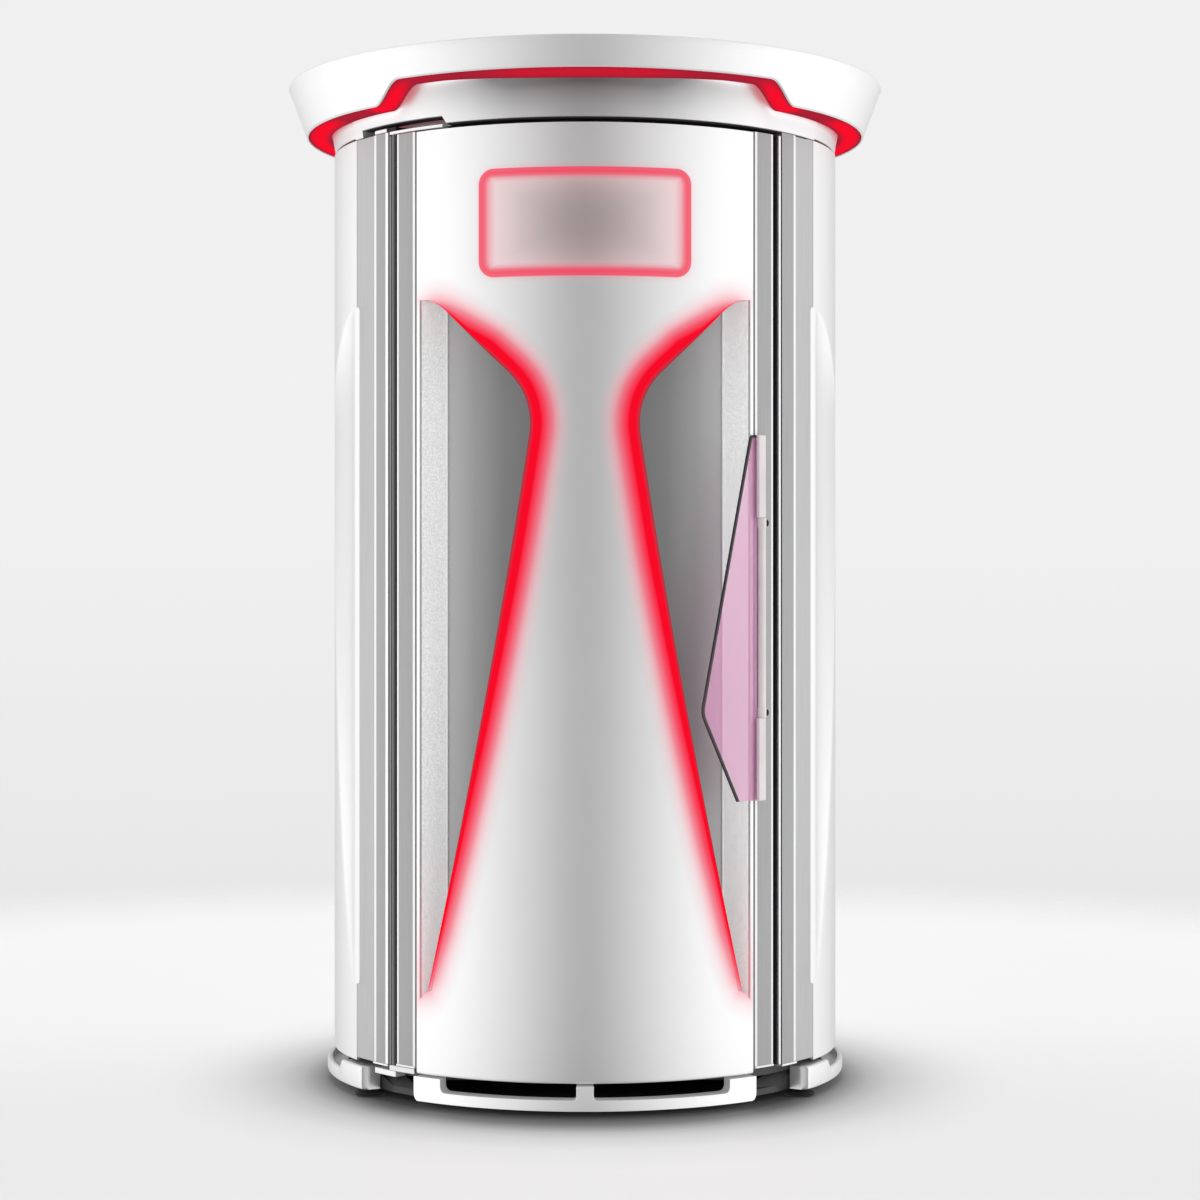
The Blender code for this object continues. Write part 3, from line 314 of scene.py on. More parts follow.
def spread(length, radius=BODY_R):
    """The angle that an arc length takes at a radius, in degrees."""
    return math.degrees(length / radius)


def steps(start, end, size):
    """Even steps from start to end, none wider than size."""
    count = max(1, math.ceil(abs(end - start) / size))
    return [start + (end - start) * k / count for k in range(count + 1)]


def sine_shares(count):
    """Shares from -1 to 1 that lie closer together towards both ends."""
    return [math.sin(math.pi / 2 * (2 * k / count - 1)) for k in range(count + 1)]


def ease(share):
    share = max(0.0, min(1.0, share))
    return share * share * (3 - 2 * share)


def between(place, stops):
    """The value at a place, or at many places, between (place, value) stops."""
    return np.interp(place, *zip(*stops))


def add_piece(name, bm, looks, body, nodes=(), bevel=0.0, segments=2, slot=None):
    """Makes an object from a mesh, shades it, rounds its edges and hangs it on a body."""
    bmesh.ops.recalc_face_normals(bm, faces=bm.faces)
    mesh = bpy.data.meshes.new(name)
    bm.to_mesh(mesh)
    bm.free()
    for look in looks if isinstance(looks, (list, tuple)) else [looks]:
        mesh.materials.append(look)
    mesh.shade_smooth()
    mesh.set_sharp_from_angle(angle=math.radians(32))
    made = bpy.data.objects.new(name, mesh)
    bpy.context.scene.collection.objects.link(made)
    if bevel:
        step = made.modifiers.new("edges", "BEVEL")
        step.width = bevel
        step.segments = segments
        step.limit_method = "ANGLE"
        step.angle_limit = math.radians(40)
        step.harden_normals = True
    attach(made, body)
    if nodes:
        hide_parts(*nodes)
    return made


def sweep_mesh(bm, sections, closed=False, values=None):
    """Adds a solid through matching loops of points, with an optional glow for each section's points."""
    layer = bm.verts.layers.float.new("glow") if values is not None else None
    loops = [[bm.verts.new(p) for p in section] for section in sections]
    if layer:
        for loop, shares in zip(loops, values):
            for vert, share in zip(loop, shares):
                vert[layer] = float(share)
    pairs = list(zip(loops, loops[1:]))
    if closed:
        pairs.append((loops[-1], loops[0]))
    else:
        bm.faces.new(loops[0])
        bm.faces.new(loops[-1])
    for low, high in pairs:
        for i in range(len(low)):
            j = (i + 1) % len(low)
            bm.faces.new((low[i], low[j], high[j], high[i]))


def sweep(name, sections, looks, body, nodes=(), closed=False, values=None, **more):
    bm = bmesh.new()
    sweep_mesh(bm, sections, closed, values)
    return add_piece(name, bm, looks, body, nodes, **more)


def round_sections(angles, loops):
    """Sections round the booth's axis, from a loop of (radius, height) points at each angle."""
    return [[polar(r, a, z) for r, z in loop] for a, loop in zip(angles, loops)]


def bent_bar(name, span, radii, heights, step, look, body, nodes=(), **more):
    """A bar of square section bent round the booth's axis."""
    (inner, outer), (low, high) = radii, heights
    loop = ((inner, low), (outer, low), (outer, high), (inner, high))
    angles = steps(*span, step)
    sweep(name, round_sections(angles, [loop] * len(angles)), look, body, nodes, **more)


def turned_sections(profile, centre, axis, sides):
    """Rings of a solid of revolution from (radius, distance along the axis) points."""
    axis = Vector(axis).normalized()
    side = axis.orthogonal().normalized()
    other = axis.cross(side)
    turns = [2 * math.pi * i / sides for i in range(sides)]
    around = [side * math.cos(t) + other * math.sin(t) for t in turns]
    return [[Vector(centre) + axis * h + d * r for d in around] for r, h in profile]


def grid(rows, keep=None):
    """Places and cells of a grid given as rows. Neighbours that coincide become one place."""
    index = {}
    places = []

    def number(place):
        key = (round(place[0], 6), round(place[1], 6))
        if key not in index:
            index[key] = len(places)
            places.append(place)
        return index[key]

    cells = []
    for r, (low, high) in enumerate(zip(rows, rows[1:])):
        for c in range(len(low) - 1):
            if keep is None or keep(r, c):
                corners = (low[c], low[c + 1], high[c + 1], high[c])
                ring = list(dict.fromkeys(number(p) for p in corners))
                if len(ring) > 2:
                    cells.append(ring)
    return places, cells


def slab_mesh(front, back, cells, values=None):
    """A closed plate between two surfaces with the same cells, with an optional value at each place."""
    bm = bmesh.new()
    layer = bm.verts.layers.float.new("glow") if values is not None else None
    near = [bm.verts.new(p) for p in front]
    far = [bm.verts.new(p) for p in back]
    if layer:
        for vert, value in zip(near + far, list(values) * 2):
            vert[layer] = float(value)
    uses = {}
    for cell in cells:
        bm.faces.new([near[i] for i in cell])
        bm.faces.new([far[i] for i in reversed(cell)])
        for a, b in zip(cell, cell[1:] + cell[:1]):
            uses.setdefault(frozenset((a, b)), []).append((a, b))
    for edges in uses.values():
        if len(edges) == 1:
            a, b = edges[0]
            bm.faces.new((near[b], near[a], far[a], far[b]))
    return bm


def curved_mesh(rows, outer, inner, keep=None, value=None):
    """A plate bent round the booth's axis from rows of (angle, height) places."""
    places, cells = grid(rows, keep)
    front = [polar(outer(*p) if callable(outer) else outer, *p) for p in places]
    back = [polar(inner(*p) if callable(inner) else inner, *p) for p in places]
    values = value(np.array(places)) if value else None
    return slab_mesh(front, back, cells, values)


def disc_rows(radii, step):
    angles = [i * step for i in range(round(360 / step))] + [0.0]
    return [[tuple(polar(r, a, 0)[:2]) for a in angles] for r in radii]


def disc_mesh(radii, step, bottom, height, keep=None):
    """A round plate whose upper face has a height for each radius."""
    places, cells = grid(disc_rows(radii, step), keep)
    front = [Vector((x, y, height(math.hypot(x, y)))) for x, y in places]
    back = [Vector((x, y, bottom)) for x, y in places]
    return slab_mesh(front, back, cells)


def box_corners(outer, inner, start, end):
    """A four-sided plan between two radii and two angles, as (radius, angle) corners."""
    return ((outer, start), (outer, end), (inner, end), (inner, start))


def polar_plan(corners):
    return [Vector(polar(r, a, 0)[:2]) for r, a in corners]


def cut_corners(plan, sizes):
    """Cuts each corner of a plan by a length before and after it, and says which sides are cuts."""
    points, cuts = [], []
    for i, here in enumerate(plan):
        near, far = sizes[i]
        if not near:
            points.append(here)
            cuts.append(False)
            continue
        before = (plan[i - 1] - here).normalized()
        after = (plan[(i + 1) % len(plan)] - here).normalized()
        points += [here + before * near, here + after * far]
        cuts += [True, False]
    return points, cuts


def upright(name, corners, bottom, top, looks, body, nodes=(), sizes=UNCUT, **more):
    """An upright of a plan of (radius, angle) corners, with a second look on its cut corners."""
    points, cuts = cut_corners(polar_plan(corners), sizes)
    bm = bmesh.new()
    low = [bm.verts.new((p.x, p.y, bottom)) for p in points]
    high = [bm.verts.new((p.x, p.y, top)) for p in points]
    bm.faces.new(low)
    bm.faces.new(high)
    for i, cut in enumerate(cuts):
        j = (i + 1) % len(points)
        bm.faces.new((low[i], low[j], high[j], high[i])).material_index = 1 if cut else 0
    return add_piece(name, bm, looks, body, nodes, **more)


def round_edges(bm, choose, size, segments):
    """Rounds the edges that a test picks."""
    picked = [e for e in bm.edges if choose(e)]
    bmesh.ops.bevel(bm, geom=picked, offset=size, segments=segments, profile=0.5, affect="EDGES")


# Shader nodes
def set_sockets(tree, node, sockets):
    """Sets a node's sockets, or links those given as an output. Underscores stand for spaces."""
    for key, value in sockets.items():
        target = node.inputs[key.replace("_", " ")]
        if isinstance(value, bpy.types.NodeSocket):
            tree.links.new(value, target)
        else:
            target.default_value = value


def add_node(tree, kind, **sockets):
    node = tree.nodes.new(kind)
    set_sockets(tree, node, sockets)
    return node


def mapped(tree, source, start=(0.0, 1.0), end=(0.0, 1.0), smooth=False):
    """Takes a value from one range to another."""
    node = add_node(tree, "ShaderNodeMapRange", Value=source, From_Min=start[0], From_Max=start[1],
                    To_Min=end[0], To_Max=end[1])
    if smooth:
        node.interpolation_type = "SMOOTHSTEP"
    return node.outputs["Result"]


def calculated(tree, operation, *sources):
    node = tree.nodes.new("ShaderNodeMath")
    node.operation = operation
    for source, target in zip(sources, node.inputs):
        tree.links.new(source, target)
    return node.outputs["Value"]


def length_of(tree, vector):
    node = tree.nodes.new("ShaderNodeVectorMath")
    node.operation = "LENGTH"
    tree.links.new(vector, node.inputs[0])
    return node.outputs["Value"]


def grey(tone, blue=1.0):
    return (tone, tone, tone * blue)


def ramp(tree, source, stops):
    """A colour ramp through (place, colour) stops."""
    node = add_node(tree, "ShaderNodeValToRGB", Fac=source)
    points = node.color_ramp.elements
    while len(points) < len(stops):
        points.new(0.5)
    for point, (place, colour) in zip(points, stops):
        point.position = place
        point.color = (*colour, 1.0)
    return node.outputs["Color"]


# Materials
def shader_of(look):
    return look.node_tree.nodes["Principled BSDF"]


def set_look(look, **sockets):
    set_sockets(look.node_tree, shader_of(look), sockets)


def base_look(name, colour, roughness, metallic=0.0, **sockets):
    look = bpy.data.materials.new(name)
    look.use_nodes = True
    set_look(look, Base_Color=(*colour, 1.0), Roughness=roughness, Metallic=metallic, **sockets)
    return look


def noise_at(look, scale, detail=3.0, stretch=(1, 1, 1)):
    """A noise over the piece's own place, drawn out along some axes."""
    tree = look.node_tree
    place = add_node(tree, "ShaderNodeTexCoord").outputs["Object"]
    drawn = add_node(tree, "ShaderNodeMapping", Vector=place, Scale=stretch).outputs["Vector"]
    return add_node(tree, "ShaderNodeTexNoise", Vector=drawn, Scale=scale, Detail=detail).outputs["Fac"]


def stored_glow(look):
    """The glow kept at the mesh's points."""
    node = add_node(look.node_tree, "ShaderNodeAttribute")
    node.attribute_name = "glow"
    return node.outputs["Fac"]


def add_bump(look, source, strength, distance):
    bump = add_node(look.node_tree, "ShaderNodeBump", Height=source, Strength=strength, Distance=distance)
    set_look(look, Normal=bump.outputs["Normal"])


def vary_roughness(look, source, low, high):
    set_look(look, Roughness=mapped(look.node_tree, source, end=(low, high)))


def vary_colour(look, source, low, high):
    set_look(look, Base_Color=ramp(look.node_tree, source, ((0.3, low), (0.7, high))))


def multiply_colour(look, factor):
    """Multiplies a look's colour by a linked factor."""
    tree = look.node_tree
    mix = tree.nodes.new("ShaderNodeMix")
    mix.data_type = "RGBA"
    mix.blend_type = "MULTIPLY"
    colour = shader_of(look).inputs["Base Color"].links[0].from_socket
    set_sockets(tree, mix, {"Factor": 1.0, "A": colour, "B": factor})
    set_look(look, Base_Color=mix.outputs["Result"])


def white_look(name, tone, metallic=0.55, tint=1.0):
    """Glossy white moulded skin with a pearl lustre and a faint ripple. A tint below 1 warms it."""
    deep, middle, pale = [(t, t * tint, t * tint) for t in (tone - 0.010, tone, tone + 0.010)]
    look = base_look(name, middle, 0.31, metallic)
    vary_colour(look, noise_at(look, 2.2, 2.0), deep, pale)
    vary_roughness(look, noise_at(look, 14.0), 0.29, 0.34)
    add_bump(look, noise_at(look, 20.0, 1.0), 0.06, 0.0008)
    return look


def add_painted_light(look, light):
    """Paints a little even light into a look as an emission, though the part is no lamp."""
    set_look(look, Emission_Color=(light, light, light, 1.0), Emission_Strength=1.0)
    return look


def metal_look(name, tone, roughness, metallic=1.0):
    """Satin metal, brushed along the height."""
    look = base_look(name, grey(tone, 1.01), roughness, metallic, Anisotropic=0.35)
    grain = noise_at(look, 6.0, 4.0, (160, 160, 1.2))
    vary_colour(look, grain, grey(tone * 0.93), (tone * 1.06, tone * 1.06, tone * 1.07))
    vary_roughness(look, noise_at(look, 5.0, 3.0, (60, 60, 1.0)), roughness - 0.05, roughness + 0.07)
    add_bump(look, grain, 0.08, 0.0002)
    return look


def plastic_look(name, colour, roughness, grain=900.0, depth=0.0003):
    """Moulded plastic or rubber with a fine grain."""
    look = base_look(name, colour, roughness)
    light = tuple(min(1.0, c * 1.15 + 0.004) for c in colour)
    vary_colour(look, noise_at(look, 9.0), colour, light)
    vary_roughness(look, noise_at(look, 30.0), roughness - 0.06, roughness + 0.08)
    add_bump(look, noise_at(look, grain, 2.0), 0.25, depth)
    return look


def glow_look(name, tone, metallic=0.55, tint=1.0, stops=GLOW_STOPS):
    """White skin whose colour and light follow its stored glow."""
    look = white_look(name, tone, metallic, tint)
    tree = look.node_tree
    glow = stored_glow(look)
    multiply_colour(look, ramp(tree, glow, [(place, grey(share)) for place, _, share in stops]))
    light = ramp(tree, glow, [(place, colour) for place, colour, _ in stops])
    set_look(look, Specular_IOR_Level=0.0, Emission_Color=light, Emission_Strength=1.0)
    return look


def lit_look(name, colour, strength):
    """A lit red lens, faintly uneven."""
    deep = tuple(c * 0.86 for c in colour)
    look = base_look(name, tuple(c * 0.1 for c in colour), 0.5, Specular_IOR_Level=0.0)
    light = ramp(look.node_tree, noise_at(look, 18.0, 2.0), ((0.3, deep), (0.7, colour)))
    set_look(look, Emission_Color=light, Emission_Strength=strength)
    vary_roughness(look, noise_at(look, 40.0), 0.42, 0.58)
    return look


def ring_look(name, deep, core):
    """A lit red diffuser, deep at its borders and bright where its stored glow is high."""
    look = base_look(name, (0.02, 0.002, 0.003), 0.5, Specular_IOR_Level=0.0)
    light = ramp(look.node_tree, stored_glow(look), ((0.1, deep), (0.9, core)))
    set_look(look, Emission_Color=light, Emission_Strength=1.0)
    vary_roughness(look, noise_at(look, 40.0), 0.42, 0.58)
    return look


def tinted_look(name, colour, alpha):
    """Clear tinted sheet with a polished face."""
    look = base_look(name, colour, 0.12, Alpha=alpha)
    vary_colour(look, noise_at(look, 3.0), colour, tuple(min(1.0, c * 1.06) for c in colour))
    vary_roughness(look, noise_at(look, 8.0), 0.09, 0.16)
    return look


def pane_look(name, dark, light):
    """Smoked grey pane with painted shade: darker by the hourglass and paler towards its outer side, as its
    stored glow says.
    """
    look = base_look(name, grey(dark), 0.4)
    middle = dark + 0.33 * (light - dark)
    stops = ((0.0, grey(dark)), (0.5, grey(middle)), (1.0, grey(light)))
    set_look(look, Base_Color=ramp(look.node_tree, stored_glow(look), stops))
    vary_roughness(look, noise_at(look, 60.0), 0.36, 0.48)
    add_bump(look, noise_at(look, 500.0, 2.0), 0.12, 0.0002)
    return look


def clear_look(name, colour, roughness, ior=1.49):
    look = base_look(name, colour, roughness, Transmission_Weight=1.0, IOR=ior)
    vary_roughness(look, noise_at(look, 8.0), roughness, roughness + 0.03)
    return look


def frost_look(name, tone, light):
    """Frosted sheet with a fine sparkle, and an even emission that paints light into it in its shaded
    recess.
    """
    look = base_look(name, grey(tone), 0.5, Emission_Color=(0.97, 1.0, 0.99, 1.0), Emission_Strength=light)
    speck = noise_at(look, 240.0, 2.0)
    stops = ((0.40, grey(tone - 0.20)), (0.60, grey(tone + 0.10)))
    set_look(look, Base_Color=ramp(look.node_tree, speck, stops))
    vary_roughness(look, noise_at(look, 220.0), 0.35, 0.65)
    add_bump(look, speck, 0.35, 0.0006)
    return look


WHITE = white_look("white_skin", 0.86, 0.60)
CANOPY_WHITE = white_look("canopy_white", 0.92)
# The bumper's small emission is painted light that brightens it
BUMPER_WHITE = add_painted_light(white_look("bumper_white", 0.92), 0.14)
DOOR_WHITE = glow_look("door_skin", 0.92, 0.61)
SIGN_WHITE = glow_look("sign_skin", 0.87, 0.74, 0.86, SIGN_STOPS)
NECK_WHITE = glow_look("neck_skin", 0.90, 0.78, stops=NECK_STOPS)
SATIN = metal_look("satin_aluminium", 0.41, 0.46, 0.35)
PALE = metal_look("pale_aluminium", 0.53, 0.44, 0.35)
# Bright metal. On the cut corners of the stiles and posts its pale tone paints their highlight lines.
BRIGHT = metal_look("bright_edge", 0.93, 0.32, 0.45)
STEEL = metal_look("brushed_steel", 0.62, 0.30)
ROD = metal_look("dark_rod", 0.16, 0.38)
PEARL = plastic_look("pearl_clamp", (0.84, 0.77, 0.78), 0.34, 300.0, 0.0001)
RUBBER = plastic_look("black_rubber", (0.012, 0.012, 0.013), 0.72)
CHARCOAL = plastic_look("charcoal_plastic", (0.035, 0.035, 0.038), 0.46)
GASKET = plastic_look("grey_gasket", (0.17, 0.17, 0.175), 0.6)
LIP = plastic_look("grey_lip", (0.26, 0.26, 0.265), 0.42, 500.0, 0.0002)
PANE = pane_look("grey_pane", 0.265, 0.62)
# The frosted wall's emission is painted light that brightens it in the recess's shade
FROST = frost_look("frosted_wall", 0.88, 0.32)
RING = ring_look("lit_ring", (0.33, 0.014, 0.034), RED_CORE)
PINK_CLEAR = tinted_look("pink_acrylic", (1.0, 0.44, 0.74), 0.34)
CLEAR = clear_look("clear_acrylic", (0.96, 0.97, 0.98), 0.03)
DARK_EDGE = plastic_look("dark_edge", (0.02, 0.018, 0.02), 0.4)
BOARD = plastic_look("lamp_board", (0.62, 0.62, 0.63), 0.5)
LAMP = lit_look("lamp_lens", (0.90, 0.02, 0.05), 1.4)
RED_PLASTIC = plastic_look("red_plastic", (0.55, 0.012, 0.02), 0.32)
MAT = plastic_look("floor_rubber", (0.03, 0.03, 0.032), 0.8, 260.0, 0.0012)


# The window edge and its glow
def curve_points(a, b, c, count):
    shares = [(i + 1) / count for i in range(count)]
    return [a * (1 - t) ** 2 + b * (2 * t * (1 - t)) + c * t * t for t in shares]


def window_edge():
    """The hourglass edge from the window's top to its foot, as (half width along the skin, height)."""
    top = Vector((WINDOW_HALF, WINDOW_TOP))
    shoulder = Vector((WINDOW_HALF - TOP_FLAT, WINDOW_TOP))
    waist = Vector((WAIST_HALF, WAIST_Z))
    bend = Vector((BEND_HALF, BEND_Z))
    tip = Vector((WINDOW_HALF - TIP_WIDTH, WINDOW_BOTTOM + TIP_WIDTH))
    slope = (waist - shoulder).normalized()
    fall = (bend - waist).normalized()
    shoulder_end = shoulder + slope * SHOULDER_ROUND
    waist_start = waist - slope * WAIST_ROUND
    waist_end = waist + fall * WAIST_ROUND
    points = [top]
    points += curve_points(top, shoulder, shoulder_end, 9)
    points += [shoulder_end.lerp(waist_start, k / 14) for k in range(1, 15)]
    points += curve_points(waist_start, waist, waist_end, 20)
    points += curve_points(waist_end, bend, tip, 70)
    points += [tip.lerp(Vector((WINDOW_HALF, WINDOW_BOTTOM)), k / 3) for k in (1, 2, 3)]
    return points


EDGE = window_edge()
EDGE_LINE = np.array([tuple(p) for p in EDGE])
STRIP_ROWS = [i for i, p in enumerate(EDGE) if WINDOW_HALF - p.x > TIP_WIDTH * 0.9]


def strip_width(i):
    """The light guide's width along the skin, so that it keeps its thickness on a slope."""
    step = EDGE[min(i + 1, len(EDGE) - 1)] - EDGE[max(i - 1, 0)]
    lean = abs(step.x) / max(abs(step.y), 1e-6)
    return STRIP_T * min(math.sqrt(1 + lean * lean), STRIP_WIDEST)


def distance_to_line(points, line):
    """Least distance of each point to a line of points, and the length along the line where it is met."""
    best = np.full(len(points), 9.0)
    along = np.zeros(len(points))
    start = 0.0
    for a, b in zip(line, line[1:]):
        run = b - a
        length = np.linalg.norm(run)
        share = np.clip(((points - a) @ run) / max(length * length, 1e-12), 0, 1)
        gap = np.linalg.norm(points - a - share[:, None] * run, axis=1)
        nearer = gap < best
        best[nearer] = gap[nearer]
        along[nearer] = start + share[nearer] * length
        start += length
    return best, along, start


def light_taper(along, total):
    """Share of the light along the hourglass edge, which fades out at both ends."""
    return between(along, TOP_TAPER) * between(total - along, FOOT_TAPER)


def on_skin(places):
    """Places of (angle, height) as (length along the skin, height)."""
    return np.stack((np.radians(places[:, 0]) * BODY_R, places[:, 1]), axis=1)


def sign_distance(points):
    """Distance outside the sign's rounded border, negative inside it."""
    middle = SIGN_BOTTOM + SIGN_HEIGHT / 2
    reach = np.abs(points - np.array((0.0, middle)))
    inset = reach - np.array((SIGN_HALF - SIGN_CORNER, SIGN_HEIGHT / 2 - SIGN_CORNER))
    outside = np.linalg.norm(np.maximum(inset, 0), axis=1)
    return outside + np.minimum(inset.max(axis=1), 0) - SIGN_CORNER


def door_glow(places):
    """Glow on the door skin: strong along the hourglass edge, fading over the white, faint by the sign."""
    skin = on_skin(places)
    folded = np.stack((np.abs(skin[:, 0]), skin[:, 1]), axis=1)
    gap, along, total = distance_to_line(folded, EDGE_LINE)
    taper = light_taper(along, total)
    reach = GLOW_REACH * (GLOW_LEAST + (1 - GLOW_LEAST) * taper)
    core = np.clip(1 - gap / reach, 0, 1) * taper
    halo = SIGN_HALO * np.exp(-np.maximum(sign_distance(skin), 0) / SIGN_HALO_REACH)
    return np.maximum(core, halo)


def sign_glow(places):
    """Glow on the sign from its border inwards, drawn out above and below its middle."""
    skin = on_skin(places)
    inside = np.maximum(-sign_distance(skin), 0)
    beside = SIGN_HALF - np.abs(skin[:, 0])
    above = SIGN_HEIGHT / 2 - np.abs(skin[:, 1] - SIGN_BOTTOM - SIGN_HEIGHT / 2)
    inside += np.minimum(np.maximum(above - SIGN_BAND, 0) * SIGN_STRETCH, np.maximum(beside - above, 0))
    return between(inside, SIGN_LIGHT)


# Door
def build_door_skin():
    edge = spread(EDGE[0].x)
    shares = sine_shares(72)

    def row(half, z):
        rim = [(-SKIN_EDGE, z), (-(SKIN_EDGE + edge) / 2, z), (-edge, z)]
        return rim + [(half * s, z) for s in shares] + [(-a, h) for a, h in reversed(rim)]

    def face(angle, z):
        fall = max(0.0, 1 - (z - SKIN_FOOT) / FOOT_ROUND)
        return BODY_R - FOOT_ROUND * FOOT_TUCK * (1 - math.sqrt(1 - fall * fall))

    rows = [row(edge, z) for z in steps(DOOR_TOP - SKIN_DROP, WINDOW_TOP, 0.009)[:-1]]
    for i, point in enumerate(EDGE):
        back = strip_width(i) + 2 * FIT if i in STRIP_ROWS else 0.0
        rows.append(row(spread(point.x - back), point.y))
    rows += [row(edge, z) for z in steps(WINDOW_BOTTOM, SKIN_FOOT + FOOT_ROUND, 0.010)[1:]]
    rows += [row(edge, SKIN_FOOT + FOOT_ROUND * share) for share in (0.75, 0.5, 0.3, 0.15, 0.05, 0.0)]
    openings = (2, len(shares) + 2)
    bm = curved_mesh(rows, face, PANEL_IN_R, lambda r, c: c not in openings, door_glow)
    add_piece("door_skin", bm, DOOR_WHITE, "door", ("door_panel",), bevel=0.0012, slot="white_gloss")


def ribbon_sections(hand, front, foot, thick):
    """Sections of an upright ribbon along the hourglass edge."""
    sections = []
    for i in STRIP_ROWS:
        point = EDGE[i]
        edge = hand * spread(point.x)
        back = hand * spread(point.x - strip_width(i) * thick / STRIP_T)
        loop = ((front, edge), (foot, edge), (foot, back), (front, back))
        sections.append([polar(r, a, point.y) for r, a in loop])
    return sections


def build_window(hand, side):
    """One recessed window: light guide, upright lip, leaning wall, its bead and the grey pane."""
    _, along, total = distance_to_line(EDGE_LINE[STRIP_ROWS], EDGE_LINE)
    shares = []
    for share in light_taper(along, total):
        edge, back = min(1.0, share * GUIDE_EDGE), share * GUIDE_BACK
        shares.append([edge, edge, back, back])
    guide = ribbon_sections(hand, BODY_R, PANEL_IN_R, STRIP_T)
    sweep(f"light_guide_{side}", guide, DOOR_WHITE, "door", (f"light_strip_{side}",), values=shares,
          bevel=0.0015, slot="red_light")
    lip = ribbon_sections(hand, PANEL_IN_R - 2 * FIT, FLOOR_R - PANE_T, WALL_T)
    sweep(f"recess_lip_{side}", lip, LIP, "door", (f"window_lip_{side}",), bevel=0.0006, slot="grey_panel")
    build_recess_wall(hand, side)
    build_pane(hand, side)


def build_recess_wall(hand, side):
    """The leaning frosted wall at a window's outer side, with a pale bead along its foot."""
    foot_half = WINDOW_HALF - WALL_RUN
    front = BODY_R - WALL_STEP
    slope = (front - FLOOR_R) / WALL_RUN
    edge = hand * spread(WINDOW_HALF - 2 * FIT)
    wall, bead = [], []
    for point in EDGE:
        foot = max(foot_half, point.x + FIT)
        if WINDOW_HALF - foot < LEAST_WIDTH:
            continue
        deep = front - (WINDOW_HALF - foot) * slope
        low = hand * spread(foot)
        loop = ((front, edge), (deep, low), (deep - WALL_T, low), (front - WALL_T, edge))
        wall.append([polar(r, a, point.y) for r, a in loop])
        if foot == foot_half:
            loop = box_corners(deep + BEAD_H, deep + FIT, low, hand * spread(foot - BEAD_W))
            bead.append([polar(r, a, point.y) for r, a in loop])
    sweep(f"recess_wall_{side}", wall, FROST, "door", (f"window_wall_{side}",), bevel=0.0008,
          slot="frosted_acrylic")
    sweep(f"recess_bead_{side}", bead, BRIGHT, "door", bevel=0.0008, slot="frosted_acrylic")


def build_pane(hand, side):
    """The grey floor of a window's recess, with painted shade that darkens it towards the hourglass."""
    rows = []
    for point in EDGE:
        near, far = point.x + 2 * FIT, WINDOW_HALF - WALL_RUN - FIT
        if far - near > LEAST_WIDTH:
            rows.append([(hand * spread(far + (near - far) * k / 24), point.y) for k in range(25)])

    # Painted shade: the pane is darkest by the hourglass and palest by its outer wall
    def painted_paleness(places):
        return np.interp(np.abs(on_skin(places)[:, 0]), PANE_SHADE_FADE, (0.0, 1.0))

    bm = curved_mesh(rows, FLOOR_R, FLOOR_R - PANE_T, value=painted_paleness)
    add_piece(f"recess_pane_{side}", bm, PANE, "door", (f"window_pane_{side}",), bevel=0.0008,
              slot="grey_panel")


def build_sign():
    """The bare lit sign panel."""
    seat, top = BODY_R + FIT, SIGN_BOTTOM + SIGN_HEIGHT
    turns = [math.radians(7.5 * k) for k in range(13)]
    levels = [(SIGN_CORNER * (1 - math.cos(t)), SIGN_CORNER * (1 - math.sin(t))) for t in turns]
    heights = [(SIGN_BOTTOM + rise, back) for rise, back in levels]
    heights += [(z, 0.0) for z in steps(heights[-1][0], top - SIGN_CORNER, 0.006)[1:-1]]
    heights += [(top - rise, back) for rise, back in reversed(levels)]
    shares = sine_shares(60)
    rows = [[(spread(SIGN_HALF - back) * s, z) for s in shares] for z, back in heights]
    bm = curved_mesh(rows, seat + SIGN_T, seat, value=sign_glow)
    add_piece("sign_plate", bm, SIGN_WHITE, "door", ("sign_panel",), bevel=0.0012, slot="frosted_acrylic")


def build_stile(hand, side):
    """A door stile: flat satin face between two bright cut edges that paint its highlight lines, with a dark
    gasket beside the skin.
    """
    corners = box_corners(POST_R, CABIN_R, hand * STILE_EDGE, hand * STILE_OUT)
    sizes = ((0.0014, 0.0060), (0.0080, 0.0025), BACK_CUT, BACK_CUT)
    upright(f"stile_{side}", corners, DOOR_BOTTOM + CAP_T, DOOR_TOP, [SATIN, BRIGHT], "door",
            (f"door_stile_{side}",), sizes, bevel=0.0006, slot="brushed_aluminium")
    foot_cap(f"stile_cap_{side}", corners, DOOR_BOTTOM, "door")
    start, end = hand * (SKIN_EDGE + GASKET_SEAM), hand * (STILE_EDGE - GASKET_SEAM)
    upright(f"gasket_{side}", box_corners(GASKET_R, PANEL_IN_R, start, end), DOOR_BOTTOM + GASKET_DROP,
            DOOR_TOP - GASKET_DROP, GASKET, "door", slot="black_rubber")


def foot_cap(name, corners, bottom, body):
    """A bright cap that closes the foot of an upright and stands a little proud of its face."""
    proud = [(r + (2 * FIT if r > CABIN_R else 0.0), a) for r, a in corners]
    upright(name, proud, bottom + FIT, bottom + CAP_T - 0.0002, BRIGHT, body, bevel=0.0012,
            slot="brushed_aluminium")


